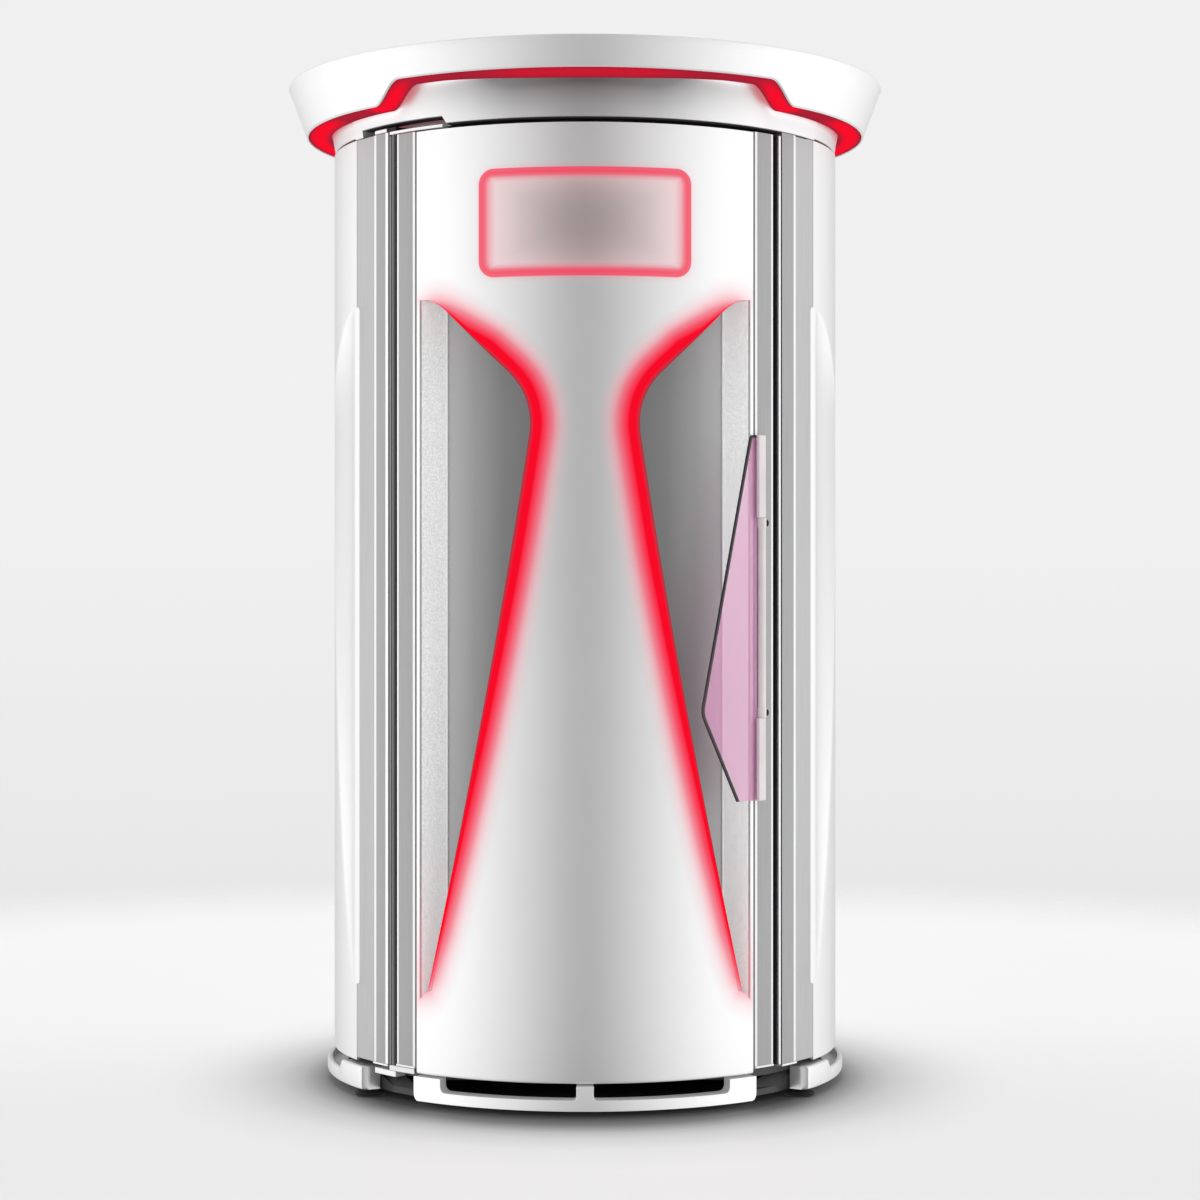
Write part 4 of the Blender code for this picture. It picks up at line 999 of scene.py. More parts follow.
def build_post_strips():
    """A bright bead that paints a highlight line and a dark strip that paints the shade in the gap on the
    latch post, and a grey strip on the hinge post.
    """
    # The bead's bright metal paints a highlight line; the dark rubber strip paints the shade in the gap
    strips = (("latch_highlight_bead", POST_R - 0.0002, 46.95, 47.64, BRIGHT, "brushed_aluminium"),
              ("latch_gap_shade", POST_R - 0.0012, 47.68, 48.06, RUBBER, "black_rubber"),
              ("hinge_strip", POST_R - 0.0032, -47.95, -47.32, LIP, "black_rubber"))
    for name, front, start, end, look, slot in strips:
        corners = box_corners(front, front - POST_STRIP_T, start, end)
        upright(name, corners, DOOR_BOTTOM, DOOR_TOP, look, "booth", bevel=0.0012, slot=slot)


def build_post(hand, side):
    """A frame post beside the doorway, cut like the stiles, with bright cut edges that paint its highlight
    lines.
    """
    corners = box_corners(POST_R, CABIN_R, hand * POST_FACE, hand * POST_END)
    inner = (0.0013, 0.0085) if side == "hinge" else (0.0004, 0.0004)
    sizes = (inner, (0.0125, POST_CUT), BACK_CUT, BACK_CUT)
    upright(f"post_{side}", corners, PLATFORM_TOP + CAP_T, BODY_TOP, [SATIN, BRIGHT], "booth",
            (f"frame_post_{side}",), sizes, bevel=0.0006, slot="brushed_aluminium")
    foot_cap(f"post_cap_{side}", corners, PLATFORM_TOP, "booth")


def build_trim(hand, side):
    """The flat pale band between a post and the side shell, narrower beside the scoop."""
    start, back = POST_END + SEAM, TRIM_R - TRIM_T
    wide = ((SHELL_BOTTOM, TRIM_LOW - TRIM_RUN), (TRIM_HIGH + TRIM_RUN, BODY_TOP))
    levels = [(z, TRIM_END) for z in wide[0]]
    levels += [(z, TRIM_END - TRIM_STEP) for z in (TRIM_LOW, TRIM_HIGH)]
    levels += [(z, TRIM_END) for z in wide[1]]
    sections = []
    for z, end in levels:
        loop = ((POST_R - POST_CUT, start), (POST_R, end), (back, end), (back, start))
        sections.append([polar(r, hand * a, z) for r, a in loop])
    sweep(f"trim_{side}", sections, PALE, "booth", (f"side_trim_{side}",), bevel=0.0006,
          slot="brushed_aluminium")


def build_rails():
    for end, bottom in (("bottom", DOOR_BOTTOM), ("top", DOOR_TOP - RAIL_H)):
        heights = (bottom, bottom + RAIL_H)
        bent_bar(f"rail_{end}", (-PANEL_EDGE, PANEL_EDGE), (SHIELD_R, RAIL_R), heights, 1.5, SATIN, "door",
                 (f"door_{end}_rail",), bevel=0.0015, slot="brushed_aluminium")


# Pull
def pull_point(across, out, z):
    """A place in the pull's own frame: across towards the door's middle, out from the stile's flat face."""
    turn = math.radians(STILE_MID)
    base = polar(STILE_FACE_R, STILE_MID, z)
    inward = Vector((-math.cos(turn), -math.sin(turn), 0))
    normal = Vector((math.sin(turn), -math.cos(turn), 0))
    return base + inward * (PULL_SET + across) + normal * out


def fin_outline(rod_low, rod_high):
    """The wing's outline as (across, height), with a round nose, and the numbers of its dark sides."""
    tab = CLAMP_HALF - RABBET + FIT
    edge = ROD_R - ROD_SET + ROD_CLEAR
    start = Vector((PULL_HEAD_REACH, PULL_TOP))
    tip = Vector((PULL_REACH, PULL_TIP_Z))
    foot = Vector((PULL_FOOT_REACH, PULL_BOTTOM))
    upper = tip + (start - tip).normalized() * NOSE_HALF
    lower = tip + (foot - tip).normalized() * NOSE_HALF
    turn = start + (tip - start).normalized() * HEAD_ROUND
    points = [Vector((tab, PULL_TOP)), start - Vector((HEAD_ROUND, 0))]
    points += curve_points(points[-1], start, turn, 5)
    points += [upper] + curve_points(upper, tip, lower, 6) + [foot]
    dark = range(len(points) - 1)
    points += [Vector((tab, PULL_BOTTOM)), Vector((tab, rod_low)), Vector((edge, rod_low))]
    points += [Vector((edge, rod_high)), Vector((tab, rod_high))]
    return points, dark


def inset_outline(points, widths):
    """Moves each side of an outline inwards by its own width."""
    area = sum(a.cross(b) for a, b in zip(points, points[1:] + points[:1]))
    hand = 1 if area > 0 else -1
    moved = []
    for i, here in enumerate(points):
        sides = ((points[i - 1], here, widths[i - 1]), (here, points[(i + 1) % len(points)], widths[i]))
        (ax, ay, u), (bx, by, v) = [(*((b - a).normalized().orthogonal() * hand), w) for a, b, w in sides]
        fall = ax * by - ay * bx
        if abs(fall) < 1e-4:
            moved.append(here + Vector((ax, ay)) * u)
        else:
            moved.append(here + Vector(((u * by - v * ay) / fall, (v * ax - u * bx) / fall)))
    return moved


def build_wing(low, high):
    """The pink clear wing with dark slanting edges."""
    outline, dark = fin_outline(low, high)
    inner = inset_outline(outline, [FIN_BORDER if i in dark else FIN_RIM for i in range(len(outline))])
    bm = bmesh.new()
    rims = [[bm.verts.new(pull_point(p.x, out, p.y)) for p in outline] for out in (FIN_BACK, FIN_FRONT)]
    fields = [[bm.verts.new(pull_point(p.x, out, p.y)) for p in inner] for out in (FIN_BACK, FIN_FRONT)]
    for a, b in ((rims[0], rims[1]), (rims[0], fields[0]), (rims[1], fields[1])):
        for i in range(len(outline)):
            j = (i + 1) % len(outline)
            bm.faces.new((a[i], a[j], b[j], b[i])).material_index = 1 if i in dark else 0
    for field in fields:
        bm.faces.new(field)
    add_piece("wing_pull", bm, [PINK_CLEAR, DARK_EDGE], "door", ("pull_fin",), slot="clear_acrylic")


def build_clamp(side, bottom, top):
    """A rounded clamp whose rabbet holds the wing."""
    root = CLAMP_HALF - RABBET
    plan = (
        (-CLAMP_HALF, FIT),
        (root, FIT),
        (root, FIN_FRONT + FIT),
        (CLAMP_NOSE, FIN_FRONT + FIT),
        (CLAMP_NOSE, CLAMP_DEPTH + FIT),
        (-CLAMP_HALF, CLAMP_DEPTH + FIT),
    )
    sections = [[pull_point(a, n, z) for a, n in plan] for z in (bottom, top)]
    sweep(f"clamp_{side}", sections, PEARL, "door", (f"pull_clamp_{side}",), bevel=0.0024, segments=4,
          slot="brushed_aluminium")


def build_pull():
    """The wing, its two clamps and the rod between them with a collar at each end."""
    low, high = PULL_BOTTOM + CLAMP_HEIGHT, PULL_TOP - CLAMP_HEIGHT
    build_wing(low, high)
    build_clamp("upper", high, PULL_TOP)
    build_clamp("lower", PULL_BOTTOM, low)
    foot = pull_point(-ROD_SET, ROD_OUT, low + FIT)
    length = high - low - 2 * FIT
    profile = [(COLLAR_R - 0.001, 0), (COLLAR_R, 0.001), (COLLAR_R, COLLAR_H), (ROD_R, COLLAR_H + 0.001)]
    profile += [(r, length - h) for r, h in reversed(profile)]
    sweep("pull_bar", turned_sections(profile, foot, (0, 0, 1), 32), PEARL, "door", ("pull_rod",),
          slot="brushed_aluminium")
    build_thumb_screws(low + COLLAR_H / 2, high - COLLAR_H / 2)


def build_thumb_screws(*heights):
    """A small dark screw through each collar of the rod."""
    bm = bmesh.new()
    turn = math.radians(STILE_MID)
    outward = Vector((math.cos(turn), math.sin(turn), 0))
    profile = ((0.0040, 0), (0.0040, 0.0020), (0.0080, 0.0026), (0.0080, 0.0052), (0.0066, 0.0064))
    for z in heights:
        start = pull_point(-ROD_SET - COLLAR_R + 2 * FIT, ROD_OUT, z)
        sweep_mesh(bm, turned_sections(profile, start, outward, 20))
    add_piece("collar_screws", bm, DARK_EDGE, "door", slot="steel")


# Hinge
def hinge_bar(name, span, width, bottom, height, look, body, *nodes):
    """A bent bar flush with the posts' faces."""
    bent_bar(name, span, (POST_R - width, POST_R), (bottom, bottom + height), 1.0, look, body, nodes,
             bevel=0.0014, segments=3, slot="steel")


def build_hinge():
    """The door's two arms, the frame's two brackets with a dark tongue that paints the notch's shade, and
    the pivot post.
    """
    low_arm = DOOR_BOTTOM - FIT - LOW_ARM_H
    foot = low_arm - FIT - LOW_BRACKET_H
    top = BODY_TOP + 0.0010
    width = POST_R - PLATE_R
    hinge_bar("pivot_arm_top", TOP_ARM_SPAN, ARM_WIDTH, DOOR_TOP + 0.0020, TOP_ARM_H, BRIGHT, "door",
              "hinge_arm_top")
    hinge_bar("pivot_arm_bottom", LOW_ARM_SPAN, ARM_WIDTH, low_arm, LOW_ARM_H, STEEL, "door",
              "hinge_arm_bottom")
    hinge_bar("pivot_bracket_top", TOP_BRACKET_SPAN, width, top, TOP_BRACKET_H, BRIGHT, "booth",
              "hinge_bracket_top")
    # The dark tongue beside the top bracket paints the shade of the hinge notch
    hinge_bar("pivot_shade_tongue_top", TONGUE_SPAN, width, top, TOP_BRACKET_H, RUBBER, "booth")
    hinge_bar("pivot_bracket_bottom", LOW_BRACKET_SPAN, width, foot, LOW_BRACKET_H, BRIGHT, "booth",
              "hinge_bracket_bottom")
    length = top + TOP_BRACKET_H - foot
    tip = PIVOT_POST_R - 0.001
    profile = ((tip, 0), (PIVOT_POST_R, 0.001), (PIVOT_POST_R, length - 0.001), (tip, length))
    place = polar(PIVOT_R, PIVOT_ANGLE, foot)
    sweep("pivot_post", turned_sections(profile, place, (0, 0, 1), 36), ROD, "door", ("hinge_rod",),
          slot="charcoal_plastic")


# Skin
def scoop_depth(angle, lip_end, scoop_end):
    """Depth of the scoop at an angle: a slightly rising lip, then the dish falls and rises to its border."""
    width = scoop_end - lip_end
    if width <= 0 or angle >= scoop_end:
        return 0.0
    if angle < lip_end:
        return LIP_DROP * (lip_end - angle) / LIP_SPAN
    full = SCOOP_DEPTH * min(1.0, width / SCOOP_FULL_WIDTH)
    fall = 1 - math.exp(-(angle - lip_end) / DISH_TURN)
    return full * fall * (1 - ((angle - lip_end) / width) ** DISH_RISE)


def shell_levels():
    """Heights of a shell's rows from its top to its foot, with the scoop's width in degrees at each."""
    picks = [0] + list(range(1, len(EDGE) - 1, 2)) + [len(EDGE) - 1]
    points = [EDGE[i] for i in picks if TRIM_LOW < EDGE[i].y < TRIM_HIGH]
    levels = [(z, 0.0) for z in steps(BODY_TOP, TRIM_HIGH + TRIM_RUN, 0.05) + [TRIM_HIGH]]
    levels += [(p.y, spread(WINDOW_HALF - p.x)) for p in points]
    return levels + [(z, 0.0) for z in [TRIM_LOW] + steps(TRIM_LOW - TRIM_RUN, SHELL_FOOT, 0.04)]


def build_shell(hand, side):
    """A side shell with a shallow D-shaped scoop that starts at its front edge."""
    end = SHELL_END - SEAM
    depths = {}
    rows = []
    for z, width in shell_levels():
        start = TRIM_END + SEAM - (TRIM_STEP if TRIM_LOW <= z <= TRIM_HIGH else 0.0)
        lip_end, scoop_end = start + LIP_SPAN, TRIM_END + width
        far = max(scoop_end, lip_end + 1.0)
        angles = [start + LIP_SPAN * k / 5 for k in range(5)]
        angles += [lip_end + (far - lip_end) * (k / 32) ** 1.3 for k in range(32)]
        angles += [far + (end - far) * k / 40 for k in range(41)]
        for a in angles:
            depths[(round(hand * a, 6), round(z, 6))] = scoop_depth(a, lip_end, scoop_end)
        rows.append([(hand * a, z) for a in angles])

    def skin(inset):
        return lambda a, z: BODY_R - inset - depths[(round(a, 6), round(z, 6))]

    bm = curved_mesh(rows, skin(0.0), skin(SHELL_T))
    add_piece(f"shell_{side}", bm, WHITE, "booth", (f"side_shell_{side}",), bevel=0.0016, segments=3,
              slot="white_gloss")


def build_rear():
    """The rear panel with hooded louvres and the inlet's opening."""
    left = steps(SHELL_END - 180, -LOUVRE_HALF, 1.6)
    left += steps(-LOUVRE_HALF, -INLET_HALF, 1.5)[1:]
    left += steps(-INLET_HALF, -MULLION_HALF, 1.4)[1:]
    angles = left + [0.0] + [-a for a in reversed(left)]
    low_field, high_field = LOUVRE_FIELDS
    heights = [SHELL_FOOT, INLET_BOTTOM, INLET_TOP, low_field - LOUVRE_MARGIN]
    slots = {}
    for field in LOUVRE_FIELDS:
        for k in range(LOUVRE_ROWS):
            low = field + k * LOUVRE_PITCH
            slots[len(heights)] = low
            heights += [low, low + LOUVRE_SLOT, low + LOUVRE_SLOT + LOUVRE_LAND]
        if field == low_field:
            heights += steps(heights[-1] + LOUVRE_MARGIN, high_field - LOUVRE_MARGIN, 0.2)
    heights.append(BODY_TOP)
    rows = [[(180 + a, z) for a in angles] for z in heights]
    hoods = [low + LOUVRE_SLOT for low in slots.values()]

    def keep(r, c):
        mid = (angles[c] + angles[c + 1]) / 2
        if heights[r] == INLET_BOTTOM:
            return abs(mid) > INLET_HALF
        return not (r in slots and MULLION_HALF < abs(mid) < LOUVRE_HALF)

    def outer(a, z):
        raised = MULLION_HALF + 0.5 < abs(a - 180) < LOUVRE_HALF - 0.5
        hood = raised and any(abs(z - h) < 1e-4 for h in hoods)
        return BODY_R + (LOUVRE_HOOD if hood else 0.0)

    bm = curved_mesh(rows, outer, lambda a, z: outer(a, z) - SHELL_T, keep)
    add_piece("rear_skin", bm, WHITE, "booth", ("rear_panel",), bevel=0.0010, slot="white_gloss")


# Canopy
def canopy_low(angle):
    side = abs((angle + 180) % 360 - 180)
    return CANOPY_LOW + NOTCH_RISE * ease((NOTCH_END - side) / (NOTCH_END - NOTCH_FLAT))


def fascia_radius(z):
    return FASCIA_LOW_R + FASCIA_FLARE * (z - CANOPY_LOW) / (CANOPY_TOP - CANOPY_LOW)


def neck_radius(z):
    return BODY_R + NECK_FLARE * (z - NECK_BOTTOM) / (NECK_TOP - NECK_BOTTOM)


def canopy_angles():
    """Angles round the canopy, close together by the notch's ends and at the neck's breaks."""
    near, far = CANOPY_FINE
    fine = steps(-far, -near, 0.4) + steps(near, far, 0.4)
    coarse = steps(-180, -far, 1.5)[:-1] + steps(-near, near, 1.5)[1:-1] + steps(far, 180, 1.5)[1:-1]
    breaks = [HINGE_NOTCH[0] - NECK_BREAK, HINGE_NOTCH[0], HINGE_NOTCH[1], HINGE_NOTCH[1] + NOTCH_SLANT]
    breaks += [hand * (NECK_STEP + gap) for hand in (-1, 1) for gap in (0.0, NECK_BREAK)]
    return sorted(set(round(a, 4) for a in fine + coarse + breaks))


def build_canopy():
    """Fascia with the raised front edge, the neck below it and the lit ring between them."""
    angles = canopy_angles()
    fascia = [fascia_loop(canopy_low(a)) for a in angles]
    neck = [neck_loop(a) for a in angles]
    light = [ring_loop(a) for a in angles]
    # The neck's stored values paint its shade and the ring's pink glow on it
    shade = [[neck_glow(a, canopy_low(a) - z) for _, z in loop] for a, loop in zip(angles, neck)]
    lamp = [ring_glow(a) for a in angles]
    rings = (
        ("fascia_ring", fascia, CANOPY_WHITE, "canopy_fascia", None, "white_gloss"),
        ("neck_ring", neck, NECK_WHITE, "canopy_neck", shade, "white_gloss"),
        ("glow_ring", light, RING, "canopy_light_ring", lamp, "red_light"),
    )
    for name, loops, look, node, values, slot in rings:
        sections = round_sections(angles, loops)
        sweep(name, sections, look, "booth", (node,), closed=True, values=values, slot=slot)
    build_neck_shade_liners()


def ring_loop(angle):
    """Section of the lit ring, whose inner edge leans down towards the front's middle."""
    low = canopy_low(angle)
    lean = float(between(abs(angle), RING_LEAN))
    below, above = low - lean, low + LIGHT_RECESS + LIGHT_T
    inner, outer = neck_radius(below) + 2 * FIT, fascia_radius(low) - FASCIA_WALL - FIT
    loop = [(inner + (outer - inner) * s, below + (LIGHT_RECESS + lean) * s) for s in RING_SHARES]
    return loop + [(fascia_radius(above) - FASCIA_WALL - FIT, above), (neck_radius(above) + 2 * FIT, above)]


def ring_glow(angle):
    """Stored glow across the ring's lit face, then its dark back."""
    bright = float(between(abs(angle), RING_LIGHT))
    return [bright * math.sin(math.pi * s) ** 0.7 for s in RING_SHARES] + [0.0, 0.0]


def neck_glow(angle, drop):
    """Stored glow of the neck below the ring: painted shade at the front's middle, painted pink glow from
    the ring farther round.
    """
    start, end = NECK_RING_GLOW_SPAN
    side = ease((abs(angle) - start) / (end - start))
    depth = float(between(abs(angle), NECK_SHADE))
    reach = float(between(abs(angle), NECK_SHADE_REACH))
    shade = min(NECK_PLAIN, depth * math.exp(-max(0.0, drop) / reach))
    painted_pink_glow = NECK_RING_GLOW * side * math.exp(-max(0.0, drop) / NECK_RING_GLOW_REACH)
    return NECK_PLAIN - shade + painted_pink_glow


def fascia_loop(low):
    """Section of the fascia above its lower edge, as (radius, height)."""
    top, lip, wall = CANOPY_TOP, FASCIA_LIP_R, FASCIA_WALL
    under = top - FASCIA_LIP_T
    loop = [(fascia_radius(low) - 0.003, low)]
    heights = [low + 0.003 + (top - FASCIA_ROUND - 0.004 - low) * k / 5 for k in range(6)]
    loop += [(fascia_radius(z), z) for z in heights]
    for k in range(1, 6):
        turn = math.radians(18 * k)
        reach = fascia_radius(top) - FASCIA_ROUND * (1 - math.cos(turn))
        loop.append((reach, top - FASCIA_ROUND * (1 - math.sin(turn))))
    loop += [(lip, top), (lip, under), (fascia_radius(under) - wall, under)]
    loop += [(fascia_radius(low + 0.002) - wall, low + 0.002), (fascia_radius(low) - wall + 0.002, low)]
    return loop


def neck_loop(angle):
    """Section of the neck, notched over the hinge and set back over the side shells."""
    notched = HINGE_NOTCH[0] <= angle < HINGE_NOTCH[1] + NOTCH_SLANT
    beside = abs(angle) > NECK_STEP
    slant = min(1.0, max(0.0, (HINGE_NOTCH[1] + NOTCH_SLANT - angle) / NOTCH_SLANT))
    notch = NECK_GAP + (HINGE_NOTCH_H - NECK_GAP) * slant
    low = NECK_BOTTOM + (notch if notched else NECK_GROOVE if beside else NECK_GAP)
    inset = NECK_INSET if beside else 0.0
    flange = NECK_BOTTOM + NECK_FLANGE
    loop = [(PLATE_R, low), (neck_radius(low) - inset - 0.001, low)]
    heights = [low + 0.001 + (NECK_TOP - low - 0.001) * k / 24 for k in range(25)]
    loop += [(neck_radius(z) - inset, z) for z in heights]
    loop += [(neck_radius(NECK_TOP) - inset - 0.004, NECK_TOP), (neck_radius(flange) - 0.009, flange)]
    return loop + [(PLATE_R, flange)]


def build_neck_shade_liners():
    """Black liners that paint the shade in the gaps under the neck: in the roof of the hinge notch, over the
    door and beside the notch.
    """
    start, end = HINGE_NOTCH
    radii = (PLATE_R + 0.001, neck_radius(NECK_BOTTOM) - 0.003)
    roof, gap = NECK_BOTTOM + HINGE_NOTCH_H, NECK_BOTTOM + NECK_GAP
    liners = (("hinge", (start + 0.1, end - 0.1), roof, 0.0016),
              ("door", (end + NOTCH_SLANT + 0.1, NECK_STEP - 0.1), gap, 0.0026),
              ("side", (-NECK_STEP + 0.1, start - 0.2), gap, 0.0026))
    for place, span, top, drop in liners:
        bent_bar(f"gasket_{place}", span, radii, (top - drop, top - FIT), 1.0, RUBBER, "booth",
                 slot="black_rubber")


def build_cover():
    """The canopy's lid with its ring grille, a shallow pressed ring and screws round the rim."""
    rings = [0.0] + [GRILLE_START + GRILLE_PITCH * i for i in range(GRILLE_COUNT)]
    spokes = {s + k for s in range(0, 144, 24) for k in (0, 1)}

    def keep(r, c):
        return r % 2 == 0 or r >= GRILLE_COUNT or c in spokes

    def height(r):
        return COVER_TOP - (PRESSED_DEPTH if PRESSED_RING[0] < r < PRESSED_RING[1] else 0.0)

    bm = disc_mesh(rings + COVER_RADII, 2.5, COVER_BOTTOM, height, keep)
    add_piece("cover_disc", bm, WHITE, "booth", ("top_cover",), bevel=0.0008, slot="white_gloss")
    pitch = 360 / COVER_SCREWS
    places = [(polar(COVER_SCREW_R, pitch * (k + 0.5), COVER_TOP), (0, 0, 1)) for k in range(COVER_SCREWS)]
    build_screws("cover_screws", places, 0.006, "booth")


def build_screws(name, places, radius, body):
    """Socket screws at places with their outward directions."""
    bm = bmesh.new()
    socket = radius * 0.45
    profile = ((radius, -0.0010), (radius, 0.0010), (radius * 0.8, 0.0018))
    profile += ((socket, 0.0018), (socket, 0.0006))
    for place, out in places:
        sweep_mesh(bm, turned_sections(profile, place, out, 18))
    add_piece(name, bm, STEEL, body, slot="steel")


# Base
def lobe_loop(angle):
    """Section of a base lobe at an angle: a rounded block at its front end, then a low rim and a channel."""
    drop = ease((angle - BLOCK_END) / BLOCK_FALL)
    start = math.sqrt(max(0.0, 1 - max(0.0, 1 - (angle - LOBE_START) / LOBE_ROUND) ** 2))
    rim = SKIRT_R - LOBE_NOSE * (1 - start)
    top = BLOCK_TOP + (RIM_TOP - BLOCK_TOP) * drop
    floor = BLOCK_FLOOR + (CHANNEL_FLOOR - BLOCK_FLOOR) * drop
    loop = [(PLATE_R, BASE_BOTTOM), (rim - 0.008, BASE_BOTTOM)]
    loop += [(rim - 0.002, BASE_BOTTOM + 0.003), (rim, BASE_BOTTOM + 0.009)]
    loop += [(rim, top - 0.007), (rim - 0.002, top - 0.002), (rim - 0.006, top)]
    return loop + [(rim - 0.012, top - 0.001), (rim - 0.0135, floor), (PLATE_R, floor)]


def build_skirt(hand, side):
    angles = steps(LOBE_START, LOBE_FINE_END, 0.5) + steps(LOBE_FINE_END, LOBE_END, 1.5)[1:]
    sections = round_sections([hand * a for a in angles], [lobe_loop(a) for a in angles])
    sweep(f"lobe_{side}", sections, WHITE, "booth", (f"base_skirt_{side}",), bevel=0.0022, segments=3,
          slot="white_gloss")


def turn_of(vert):
    """A point's angle from the front."""
    return math.degrees(math.atan2(vert.co.x, -vert.co.y))


def build_bumper():
    """The slotted bumper under the door, with round ends and soft slot corners."""
    half = steps(SLOT_START, SLOT_END, 1.2) + steps(SLOT_END, PANEL_EDGE, 1.2)[1:]
    angles = [-a for a in reversed(half)] + half
    rows = [[(a, z) for a in angles] for z in (BASE_BOTTOM, BUMPER_RAIL, BUMPER_TOP)]

    def keep(r, c):
        middle = abs(angles[c] + angles[c + 1]) / 2
        return r == 0 or not SLOT_START < middle < SLOT_END

    bm = curved_mesh(rows, BODY_R + BUMPER_OUT, PLATE_R, keep)
    for vert in bm.verts:
        turn = turn_of(vert)
        inner = vert.co.xy.length < PLATE_R + 0.001 and vert.co.z > BUMPER_RAIL - 0.001
        if inner and abs(abs(turn) - SLOT_END) < 0.02:
            vert.co = polar(PLATE_R, math.copysign(SLOT_END + SLOT_TURN, turn), vert.co.z)

    def corner(edge, place, z):
        if any(abs(v.co.z - z) > 1e-5 for v in edge.verts):
            return False
        turns = [turn_of(v) for v in edge.verts]
        across = abs(turns[0] - turns[1]) < SLOT_TURN + 0.01
        return across and any(abs(abs(t) - place) < 0.02 for t in turns)

    round_edges(bm, lambda e: corner(e, PANEL_EDGE, BASE_BOTTOM), 0.018, 8)
    round_edges(bm, lambda e: corner(e, SLOT_END, BUMPER_RAIL), 0.014, 6)
    round_edges(bm, lambda e: corner(e, SLOT_START, BUMPER_RAIL), 0.007, 5)
    add_piece("bumper_rail", bm, BUMPER_WHITE, "booth", ("front_bumper",), bevel=0.0026, segments=3,
              slot="white_gloss")


def build_feet():
    """Rubber pads with a ribbed side and a short neck."""
    pad = [(0.029, 0.0), (0.0325, 0.0008), (0.034, 0.0025)]
    pad += [(0.034 - 0.0012 * (k % 2), 0.0032 + 0.0011 * k) for k in range(5)]
    pad += [(0.031, 0.0092), (0.022, 0.0110), (0.018, 0.0118), (0.018, 0.0150), (0.016, FLOOR_PAD)]
    for end, angle in FOOT_ANGLES:
        for hand, side in SIDES:
            sections = turned_sections(pad, polar(FOOT_R, hand * angle, 0), (0, 0, 1), 40)
            node = f"foot_{end}_{side}"
            sweep(f"pad_{end}_{side}", sections, RUBBER, "booth", (node,), slot="black_rubber")


# Cabin
def lining_plan(radius, thick, span, facets):
    half = math.radians((span[1] - span[0]) / facets) / 2
    angles = [span[0] + (span[1] - span[0]) * k / facets for k in range(facets + 1)]
    inner = [(radius / math.cos(half), a) for a in angles]
    outer = [((radius + thick) / math.cos(half), a) for a in reversed(angles)]
    return polar_plan(inner + outer)


def build_lining(side, span, facets, heights, body, board, shield):
    """A lamp board bent in flat facets, the clear shield before it and the lamps between them."""
    sheets = (
        (f"lamp_board_{side}", LED_R, LED_T, BOARD, board, "led_board"),
        (f"clear_shield_{side}", SHIELD_R, SHIELD_T, CLEAR, shield, "clear_acrylic"),
    )
    for name, radius, thick, look, node, slot in sheets:
        plan = lining_plan(radius, thick, span, facets)
        sections = [[Vector((p.x, p.y, z)) for p in plan] for z in heights]
        sweep(name, sections, look, body, (node,), bevel=0.0008, slot=slot)
    build_lamps(f"lamps_{side}", span, facets, heights, body)


def build_lamps(name, span, facets, heights, body):
    """Rows of small lamp lenses on the inner faces of a lamp board."""
    bottom, top = heights
    width = (span[1] - span[0]) / facets
    bm = bmesh.new()
    profile = ((0.0070, 0.0), (0.0066, 0.0016), (0.0048, 0.0028), (0.0022, 0.0034))
    for f in range(facets):
        facing = span[0] + width * (f + 0.5)
        turn = math.radians(facing)
        across = Vector((math.cos(turn), math.sin(turn), 0))
        inward = Vector((-math.sin(turn), math.cos(turn), 0))
        reach = LED_R * math.tan(math.radians(width) / 2) * LAMP_FILL
        for z in steps(bottom + LAMP_MARGIN, top - LAMP_MARGIN, LAMP_PITCH):
            for k in range(LAMP_COLUMNS):
                share = 2 * k / (LAMP_COLUMNS - 1) - 1
                place = polar(LED_R - 0.0001, facing, z) + across * reach * share
                sweep_mesh(bm, turned_sections(profile, place, inward, 8))
    add_piece(name, bm, LAMP, body, slot="red_light")


def build_cabin():
    heights = (PLATFORM_TOP + FIT, ROOF_BOTTOM - FIT)
    for hand, side in SIDES:
        span = sorted((hand * CABIN_START, hand * CABIN_END))
        build_lining(side, span, 4, heights, "booth", f"led_panel_{side}", f"shield_{side}")
    heights = (DOOR_BOTTOM + RAIL_H + FIT, DOOR_TOP - RAIL_H - FIT)
    build_lining("door", (-PANEL_EDGE, PANEL_EDGE), 3, heights, "door", "door_led_panel", "door_shield")
    build_mat()


def build_mat():
    """A round rubber mat with raised ribs round it."""
    radii = [0.0, 0.15, 0.30] + [RIB_START + RIB_PITCH * k for k in range(RIB_COUNT)] + [0.441, 0.445]
    low = PLATFORM_TOP + FIT

    def height(r):
        ring = round((r - RIB_START) / RIB_PITCH)
        return low + MAT_T - (RIB_DEPTH if 0 <= ring < RIB_COUNT and ring % 2 else 0.0)

    bm = disc_mesh(radii, 5.0, low, height)
    add_piece("ribbed_mat", bm, MAT, "booth", ("floor_mat",), bevel=0.0006, slot="black_rubber")


def dress_nodes(look, *names):
    """Gives CAD nodes that stay as they are a finished material."""
    for name in names:
        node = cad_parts[name]
        node.data.materials.clear()
        node.data.materials.append(look)


# Studio
def build_stage():
    """The pale floor, which fades out far from the object."""
    bm = bmesh.new()
    places, cells = grid(disc_rows(STAGE_RINGS, 5.0))
    verts = [bm.verts.new((x, y, STAGE_Z)) for x, y in places]
    for cell in cells:
        bm.faces.new([verts[i] for i in cell])
    bmesh.ops.recalc_face_normals(bm, faces=bm.faces)
    mesh = bpy.data.meshes.new("studio_floor")
    bm.to_mesh(mesh)
    bm.free()
    mesh.materials.append(floor_look())
    floor = bpy.data.objects.new("studio_floor", mesh)
    bpy.context.scene.collection.objects.link(floor)
    floor.visible_glossy = False


